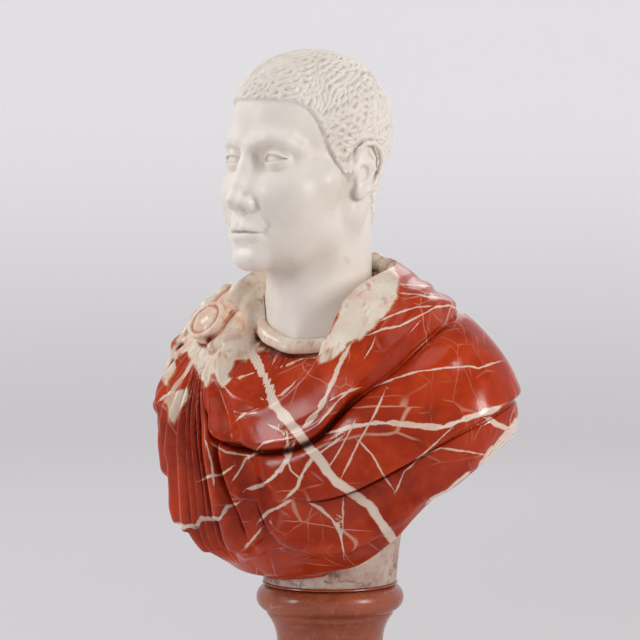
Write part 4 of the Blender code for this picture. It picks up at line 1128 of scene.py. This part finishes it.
def white_marble():
    n = Nodes("white_marble")
    fine = n.noise(55.0, 4.0, 0.6)
    colour = n.wash(srgb(243, 236, 227), srgb(233, 225, 213), n.noise(9.0, 4.0, 0.55, warp=0.4), 0.35, 0.7)
    colour = n.wash(colour, srgb(246, 241, 234), fine, 0.5, 0.8, 0.35)
    # Thin warm grey veins.
    vein = n.noise(7.0, 5.0, 0.6, n.moved((3.1, 0.4, 1.7), 0.09, 9.0))
    vein = n.step(n.math("ABSOLUTE", n.less(vein, 0.5)), 0.0, 0.012, 1.0, 0.0)
    vein = n.times(vein, n.step(n.noise(4.0, 2.0, 0.5), 0.52, 0.66))
    colour = n.mix(n.times(vein, 0.35), colour, srgb(188, 176, 158))
    # Brownish dirt and painted shade in the recesses and between the locks, and a few warm spots.
    deep = n.kept("deep")
    dirt_and_shade = n.times(n.step(deep, 0.12, 0.9), n.step(n.noise(170.0, 3.0, 0.6), 0.2, 0.7, 0.45, 1.0))
    colour = n.mix(n.times(dirt_and_shade, 0.6), colour, srgb(184, 160, 128))
    spot = n.step(n.noise(26.0, 2.0, 0.5, n.moved((0.7, 5.0, 2.2))), 0.70, 0.76)
    colour = n.mix(n.times(spot, 0.25), colour, srgb(205, 180, 145))
    rough = n.plus(n.step(fine, 0.3, 0.8, 0.34, 0.44), n.times(deep, 0.25))
    n.bump(n.plus(n.noise(260.0, 4.0, 0.6), n.times(n.noise(38.0, 3.0, 0.5), 1.6)), 0.00035, 0.5)
    return n.finish(colour, rough, Subsurface_Weight=0.15, Subsurface_Scale=0.0025,
                    Subsurface_Radius=(1.0, 0.8, 0.6), IOR=1.5)


# Kinds of fine vein, mostly straight, each only in parts of the stone: slant, scale, width, shift, strength.
FINE_VEINS = (
    ((0.5, 1.0, 2.4), 10.0, 0.010, (0.3, 0.1, 0.9), 0.75),
    ((2.2, 1.4, 0.6), 12.0, 0.009, (4.3, 2.1, 0.2), 0.6),
    ((1.0, 2.6, 0.8), 21.0, 0.011, (1.3, 8.1, 2.2), 0.45),
)
# Bands of the broad vein, from its middle to its edge.
BROAD_BANDS = (
    (0.0, (196, 122, 82)), (0.07, (240, 224, 206)), (0.36, (242, 228, 212)), (0.42, (186, 100, 60)),
    (0.48, (240, 222, 202)), (0.70, (242, 228, 210)), (0.76, (190, 108, 68)), (0.83, (240, 222, 204)),
    (0.97, (222, 176, 148)),
)


def red_ground(n, fine):
    """Clouds of brighter and browner red, a milky haze, and the fine veins."""
    red = n.wash(srgb(150, 38, 10), srgb(198, 60, 15), n.noise(11.0, 5.0, 0.6, warp=0.8), 0.3, 0.72)
    red = n.wash(red, srgb(208, 74, 26), fine, 0.42, 0.75, 0.4)
    brown = n.noise(18.0, 4.0, 0.55, n.moved((2.0, 7.0, 1.0), 0.05, 12.0))
    red = n.wash(red, srgb(118, 36, 18), brown, 0.56, 0.78, 0.55)
    spark = n.step(n.noise(420.0, 2.0, 0.5), 0.72, 0.8)
    red = n.mix(n.times(spark, 0.25), red, srgb(205, 110, 80))
    haze = n.noise(14.0, 4.0, 0.6, n.moved((5.0, 1.0, 3.0), 0.06, 10.0))
    red = n.wash(red, srgb(186, 96, 72), haze, 0.6, 0.8, 0.18)
    for number, (slant, scale, width, shift, strength) in enumerate(FINE_VEINS):
        slanted = n.vector("MULTIPLY", n.moved(shift, 0.03, 9.0), slant)
        line = n.cracks(slanted, scale, width * 0.4, width * 1.6)
        part = n.step(n.noise(6.0 + 2 * number, 3.0, 0.6, n.moved(shift)), 0.53, 0.62)
        tone = n.mix(n.noise(40.0, 2.0), srgb(206, 132, 104), srgb(226, 186, 162))
        red = n.mix(n.times(n.times(line, part), strength), red, tone)
    return red


def cream_ground(n):
    """Cream with orange clouds and rusty streaks that run down the folds."""
    cloud = n.noise(32.0, 5.0, 0.6, n.moved((9.0, 2.0, 4.0), 0.03, 20.0))
    cream = n.wash(srgb(240, 230, 214), srgb(228, 212, 192), cloud, 0.35, 0.6)
    orange = n.step(n.noise(21.0, 5.0, 0.65, n.moved((3.0, 3.0, 8.0), 0.05, 16.0)), 0.47, 0.66)
    cream = n.mix(n.times(orange, 0.55), cream, srgb(218, 156, 116))
    along = n.vector("MULTIPLY", n.moved((1.0, 6.0, 2.0), 0.03, 14.0), (2.2, 1.6, 0.6))
    cream = n.wash(cream, srgb(196, 112, 70), n.noise(30.0, 4.0, 0.6, along), 0.56, 0.72, 0.75)
    return n.wash(cream, srgb(176, 150, 132), n.noise(64.0, 3.0, 0.5, along), 0.60, 0.72, 0.5)


def laid_veins(n, colour, bend):
    """The veins that are laid out one by one, and over them the broad banded one."""
    swell = n.noise(75.0, 3.0, 0.5, n.moved((6.0, 2.0, 7.0)))
    for number in range(len(VEIN_LAYERS)):
        off, half, _ = n.split(n.kept(f"vein_{number}", "Vector"))
        off = n.math("ABSOLUTE", n.plus(off, n.times(bend, 0.45 if number % 2 else -0.45)))
        half = n.times(half, n.step(swell, 0.3, 0.7, 0.45, 1.35))
        edge = n.less(half, off)
        tone = n.wash(srgb(242, 230, 214), srgb(232, 206, 184), swell, 0.35, 0.65)
        tone = n.mix(n.step(edge, 0.1, 1.2, 0.55, 0.0), tone, srgb(206, 150, 118))
        colour = n.mix(n.times(n.step(edge, -0.22, 0.3), 0.92), colour, tone)
    off, half, _ = n.split(n.kept("vein_broad", "Vector"))
    off = n.math("ABSOLUTE", n.plus(off, n.times(bend, 0.6)))
    wide = n.math("MAXIMUM", n.times(half, n.step(swell, 0.2, 0.8, 0.8, 1.25)), 0.01)
    share = n.math("DIVIDE", off, wide)
    bands = n.new("ShaderNodeValToRGB")
    stops = bands.color_ramp.elements
    stops[0].position = BROAD_BANDS[0][0]
    stops[1].position = BROAD_BANDS[-1][0]
    for position, _ in BROAD_BANDS[1:-1]:
        stops.new(position)
    for stop, (_, tone) in zip(stops, BROAD_BANDS):
        stop.color = srgb(*tone)
    n.join(share, bands.inputs["Fac"])
    inside = n.times(n.step(share, 0.93, 1.03, 1.0, 0.0), n.step(half, -1.0, 0.0))
    return n.mix(inside, colour, bands.outputs["Color"])


def stem_stone(n):
    """Unpolished pinkish grey, with slanting brown streaks and pale blotches."""
    slanted = n.vector("MULTIPLY", n.moved((0, 4.0, 0), 0.10, 9.0), (1.0, 1.0, 1.6))
    stone = n.wash(srgb(186, 158, 146), srgb(206, 188, 172), n.noise(17.0, 6.0, 0.68, slanted), 0.36, 0.64)
    brown = n.noise(30.0, 6.0, 0.7, n.moved((7.0, 0, 3.0), 0.1, 11.0))
    stone = n.wash(stone, srgb(160, 112, 94), brown, 0.52, 0.68, 0.8)
    streak = n.math("ABSOLUTE", n.less(n.noise(9.0, 5.0, 0.62, slanted), 0.52))
    stone = n.mix(n.step(streak, 0.0, 0.016, 0.75, 0.0), stone, srgb(120, 76, 62))
    return n.wash(stone, srgb(140, 116, 104), n.noise(150.0, 3.0, 0.6), 0.5, 0.8, 0.5)


def red_marble():
    n = Nodes("red_marble")
    fine = n.noise(70.0, 5.0, 0.62, warp=0.3)
    # The kept distances of areas and veins are bent by noise, in millimetres.
    bend = n.plus(n.times(n.less(n.noise(38.0, 3.0, 0.6), 0.5), 7.0),
                  n.times(n.less(n.noise(190.0, 3.0, 0.6), 0.5), 2.2))
    wild = n.times(n.less(n.noise(24.0, 5.0, 0.65, n.moved((8.0, 8.0, 1.0))), 0.5), 26.0)
    pale = n.plus(n.kept("pale"), wild)
    creamy = n.step(pale, -0.9, 0.9, 1.0, 0.0)
    colour = n.mix(creamy, red_ground(n, fine), cream_ground(n))
    colour = n.mix(n.step(n.math("ABSOLUTE", pale), 0.3, 2.2, 0.7, 0.0), colour, srgb(196, 112, 66))
    colour = laid_veins(n, colour, bend)
    on_stem = n.step(n.plus(n.kept("stem"), n.times(bend, 0.5)), -1.0, 1.5)
    colour = n.mix(on_stem, colour, stem_stone(n))
    # Recesses are rusty in the cream, and painted shade darkens them everywhere, the narrow ones most.
    deep = n.kept("deep")
    colour = n.mix(n.times(n.step(deep, 0.10, 0.42, 0.0, 0.8), creamy), colour, srgb(190, 98, 54))
    # Painted shade: wide hollows are darkened, less so on the stem, and narrow recesses darker still.
    hollow_shade = n.times(n.step(n.kept("hollow"), 0.38, 0.95, 0.0, 0.7), n.step(on_stem, 0.0, 1.0, 1.0, 0.15))
    colour = n.mix(hollow_shade, colour, srgb(150, 96, 74), "MULTIPLY")
    colour = n.mix(n.step(deep, 0.28, 0.85, 0.0, 0.85), colour, srgb(118, 62, 44), "MULTIPLY")
    rough = n.plus(n.step(fine, 0.3, 0.75, 0.14, 0.22), n.times(on_stem, 0.45))
    rough = n.plus(rough, n.step(deep, 0.3, 1.0, 0.0, 0.25))
    coarse = n.plus(n.noise(120.0, 5.0, 0.65), n.times(n.noise(420.0, 3.0, 0.6), 0.5))
    smooth = n.times(n.noise(24.0, 3.0, 0.5), 0.5)
    n.bump(n.plus(n.times(coarse, on_stem), smooth), 0.0012, 0.6)
    return n.finish(colour, rough, IOR=1.5, Specular_IOR_Level=0.3)


def socle_marble():
    n = Nodes("socle_marble")
    cloud = n.noise(16.0, 5.0, 0.62, warp=0.6)
    colour = n.wash(srgb(148, 72, 44), srgb(170, 88, 56), cloud, 0.35, 0.66)
    colour = n.wash(colour, srgb(132, 66, 50), n.noise(60.0, 5.0, 0.65), 0.48, 0.72, 0.7)
    flecks = n.noise(150.0, 4.0, 0.6, n.moved((2.0, 0, 5.0)))
    colour = n.wash(colour, srgb(190, 134, 112), flecks, 0.58, 0.72, 0.6)
    line = n.cracks(n.moved((3.0, 5.0, 0.4), 0.12, 12.0), 14.0, 0.004, 0.02)
    part = n.step(n.noise(9.0, 3.0, 0.6, n.moved((6.0, 0, 0))), 0.5, 0.6)
    colour = n.mix(n.times(n.times(line, part), 0.7), colour, srgb(212, 172, 152))
    n.bump(n.noise(90.0, 4.0, 0.6), 0.0004, 0.4)
    rough = n.step(cloud, 0.3, 0.7, 0.22, 0.34)
    return n.finish(colour, rough, IOR=1.5, Coat_Weight=0.08, Coat_Roughness=0.12)


# The head.
head = carve("carved_head", head_field, *HEAD_BOX, HEAD_STEP, lay_locks)
points, normals = places(head)
keep(head, "deep", hair_depth(points, normals))
head.data.materials.append(white_marble())
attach(head, "root")
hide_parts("head")

# The draped bust.
bust = carve("carved_drapery", bust_field, *BUST_BOX, BUST_STEP)
points, normals = places(bust)
at = laid_out(points)
keep(bust, "vein_broad", vein_layer(at, BROAD_VEINS))
for number, veins in enumerate(VEIN_LAYERS):
    keep(bust, f"vein_{number}", vein_layer(at, veins))
pale = np.full(len(points), 60.0)
for outline in PALE_AREAS:
    pale = np.minimum(pale, off_outline(at, outline))
pale = np.minimum(pale / VIEW_SCALE, tunic_ring(points) * 2.0 - 6.0)
keep(bust, "pale", np.clip(pale, -40, 60))
keep(bust, "stem", np.clip(in_batches(cloth_field, points) - in_batches(stem, points), -12, 12))
# How far narrow and wide recesses are shut in, from the free space over each point.
for name, reach in (("deep", 4.0), ("hollow", 13.0)):
    keep(bust, name, np.clip(1.0 - in_batches(bust_field, points + normals * reach) / reach, -0.5, 1.2))
bust.data.materials.append(red_marble())
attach(bust, "root")
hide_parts("draped_bust")


def turned_socle():
    """The turned socle with rounder mouldings than the solid's."""
    seat = STEM_FOOT_RADIUS + 0.0015
    torus = 0.0145
    torus_z = SOCLE_HEIGHT - 0.003 - torus
    centre = SOCLE_TORUS_RADIUS - torus
    profile = [(0.0, SOCLE_HEIGHT), (seat - 0.0015, SOCLE_HEIGHT), (seat - 0.0004, SOCLE_HEIGHT - 0.0005),
               (seat, SOCLE_HEIGHT - 0.0015)]
    for step in range(25):
        a = math.radians(78 - 6.5 * step)
        profile.append((centre + torus * math.cos(a), torus_z + torus * math.sin(a)))
    fillet = centre + 0.003
    top_z = torus_z - torus - 0.0035
    foot_z = 0.046
    profile += [(fillet, torus_z - torus), (fillet, top_z)]
    for step in range(1, 24):
        t = step / 24
        bulge = math.sin(math.pi * t ** 0.85)
        edge = fillet + (0.079 - fillet) * t * t
        profile.append((edge - (edge - SOCLE_WAIST_RADIUS) * bulge, top_z + (foot_z - top_z) * t))
    profile += [(0.0788, foot_z), (0.079, foot_z - 0.0004), (0.079, foot_z - 0.0035)]
    for step in range(15):
        a = math.radians(72 - 10.2 * step)
        profile.append((0.0815 + 0.0125 * math.cos(a), 0.0295 + 0.0125 * math.sin(a)))
    profile += [(SOCLE_RADIUS - 0.002, 0.016), (SOCLE_RADIUS - 0.0006, 0.0155), (SOCLE_RADIUS, 0.014),
                (SOCLE_RADIUS, 0.0008), (SOCLE_RADIUS - 0.0008, 0.0), (0.0, 0.0)]
    obj = lathe("turned_socle", profile, 128)
    work_in(obj)
    obj.data.shade_smooth()
    obj.data.set_sharp_from_angle(angle=math.radians(40))
    return obj


socle = turned_socle()
socle.data.materials.append(socle_marble())
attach(socle, "root")
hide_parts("socle")


# The plain studio: a pale bowl of floor and wall all round, soft lights, and the camera.
def studio():
    rise = [(0.0, 0.0), (3.2, 0.0)]
    for step in range(1, 13):
        a = math.radians(7.5 * step)
        rise.append((3.2 + 1.6 * math.sin(a), 1.6 - 1.6 * math.cos(a)))
    rise.append((4.8, 4.2))
    obj = lathe("studio_floor", [(r, z - 0.0002) for r, z in rise], 96)
    obj.modifiers["turned"].use_normal_flip = True
    obj.data.shade_smooth()
    n = Nodes("studio_paper")
    # The wall glows of itself, most where it stands behind the bust.
    way = n.split(n.place)
    a = math.radians(VIEW_AZIMUTH)
    behind = n.plus(n.times(way[0], -math.sin(a)), n.times(way[1], math.cos(a)))
    glow = n.times(n.step(behind, -1.5, 3.5, 0.16, 0.56), n.step(way[2], -0.3, 0.9, 0.42, 1.0))
    tone = n.mix(n.noise(0.6, 2.0), srgb(199, 197, 199), srgb(205, 203, 205))
    obj.data.materials.append(n.finish(tone, 0.9, Emission_Color=srgb(228, 226, 230)))
    n.join(glow, n.shader.inputs["Emission Strength"])


LIGHTS_AIM = (0.0, 0.0, 0.42)


def soft_light(name, azimuth, height, distance, size, power, tone=(1.0, 1.0, 1.0), tall=None):
    light = bpy.data.lights.new(name, "AREA")
    light.shape = "RECTANGLE"
    light.size = size
    light.size_y = tall or size
    light.energy = power
    light.color = tone
    obj = added(name, light)
    a = math.radians(azimuth)
    obj.location = (math.sin(a) * distance, -math.cos(a) * distance, height)
    obj.rotation_euler = look_along(np.array(LIGHTS_AIM) - obj.location)


def look_along(way):
    """Turns that point an object's -Z axis along a direction, with its Y axis up."""
    flat = math.hypot(way[0], way[1])
    return (math.atan2(flat, -way[2]), 0.0, math.atan2(way[1], way[0]) - math.pi / 2)


studio()
soft_light("key_softbox", 92, 1.25, 2.2, 0.46, 24, (1.0, 0.985, 0.96), 0.85)
soft_light("left_softbox", -28, 1.15, 2.3, 0.45, 12, (0.98, 0.99, 1.0), 0.9)
soft_light("front_softbox", -64, 2.3, 2.3, 0.9, 24, (1.0, 0.99, 0.98))
soft_light("top_softbox", 20, 2.9, 0.7, 1.6, 9)
soft_light("rear_softbox", 205, 1.7, 2.4, 1.0, 4)
world = bpy.data.worlds.new("studio_air")
bpy.context.scene.world = world
world.use_nodes = True
world.node_tree.nodes["Background"].inputs["Color"].default_value = srgb(228, 227, 229)
world.node_tree.nodes["Background"].inputs["Strength"].default_value = 0.30

aim, back, right, up = view_axes()
camera = added("camera", bpy.data.cameras.new("camera"))
camera.data.sensor_width = 36.0
camera.data.lens = camera.data.sensor_width * VIEW_SCALE * VIEW_DISTANCE / VIEW_SIZE
camera.location = (aim + back * VIEW_DISTANCE) * MM
camera.rotation_euler = look_along(-back)
bpy.context.scene.camera = camera
bpy.context.scene.view_settings.view_transform = "Standard"
bpy.context.scene.view_settings.look = "None"
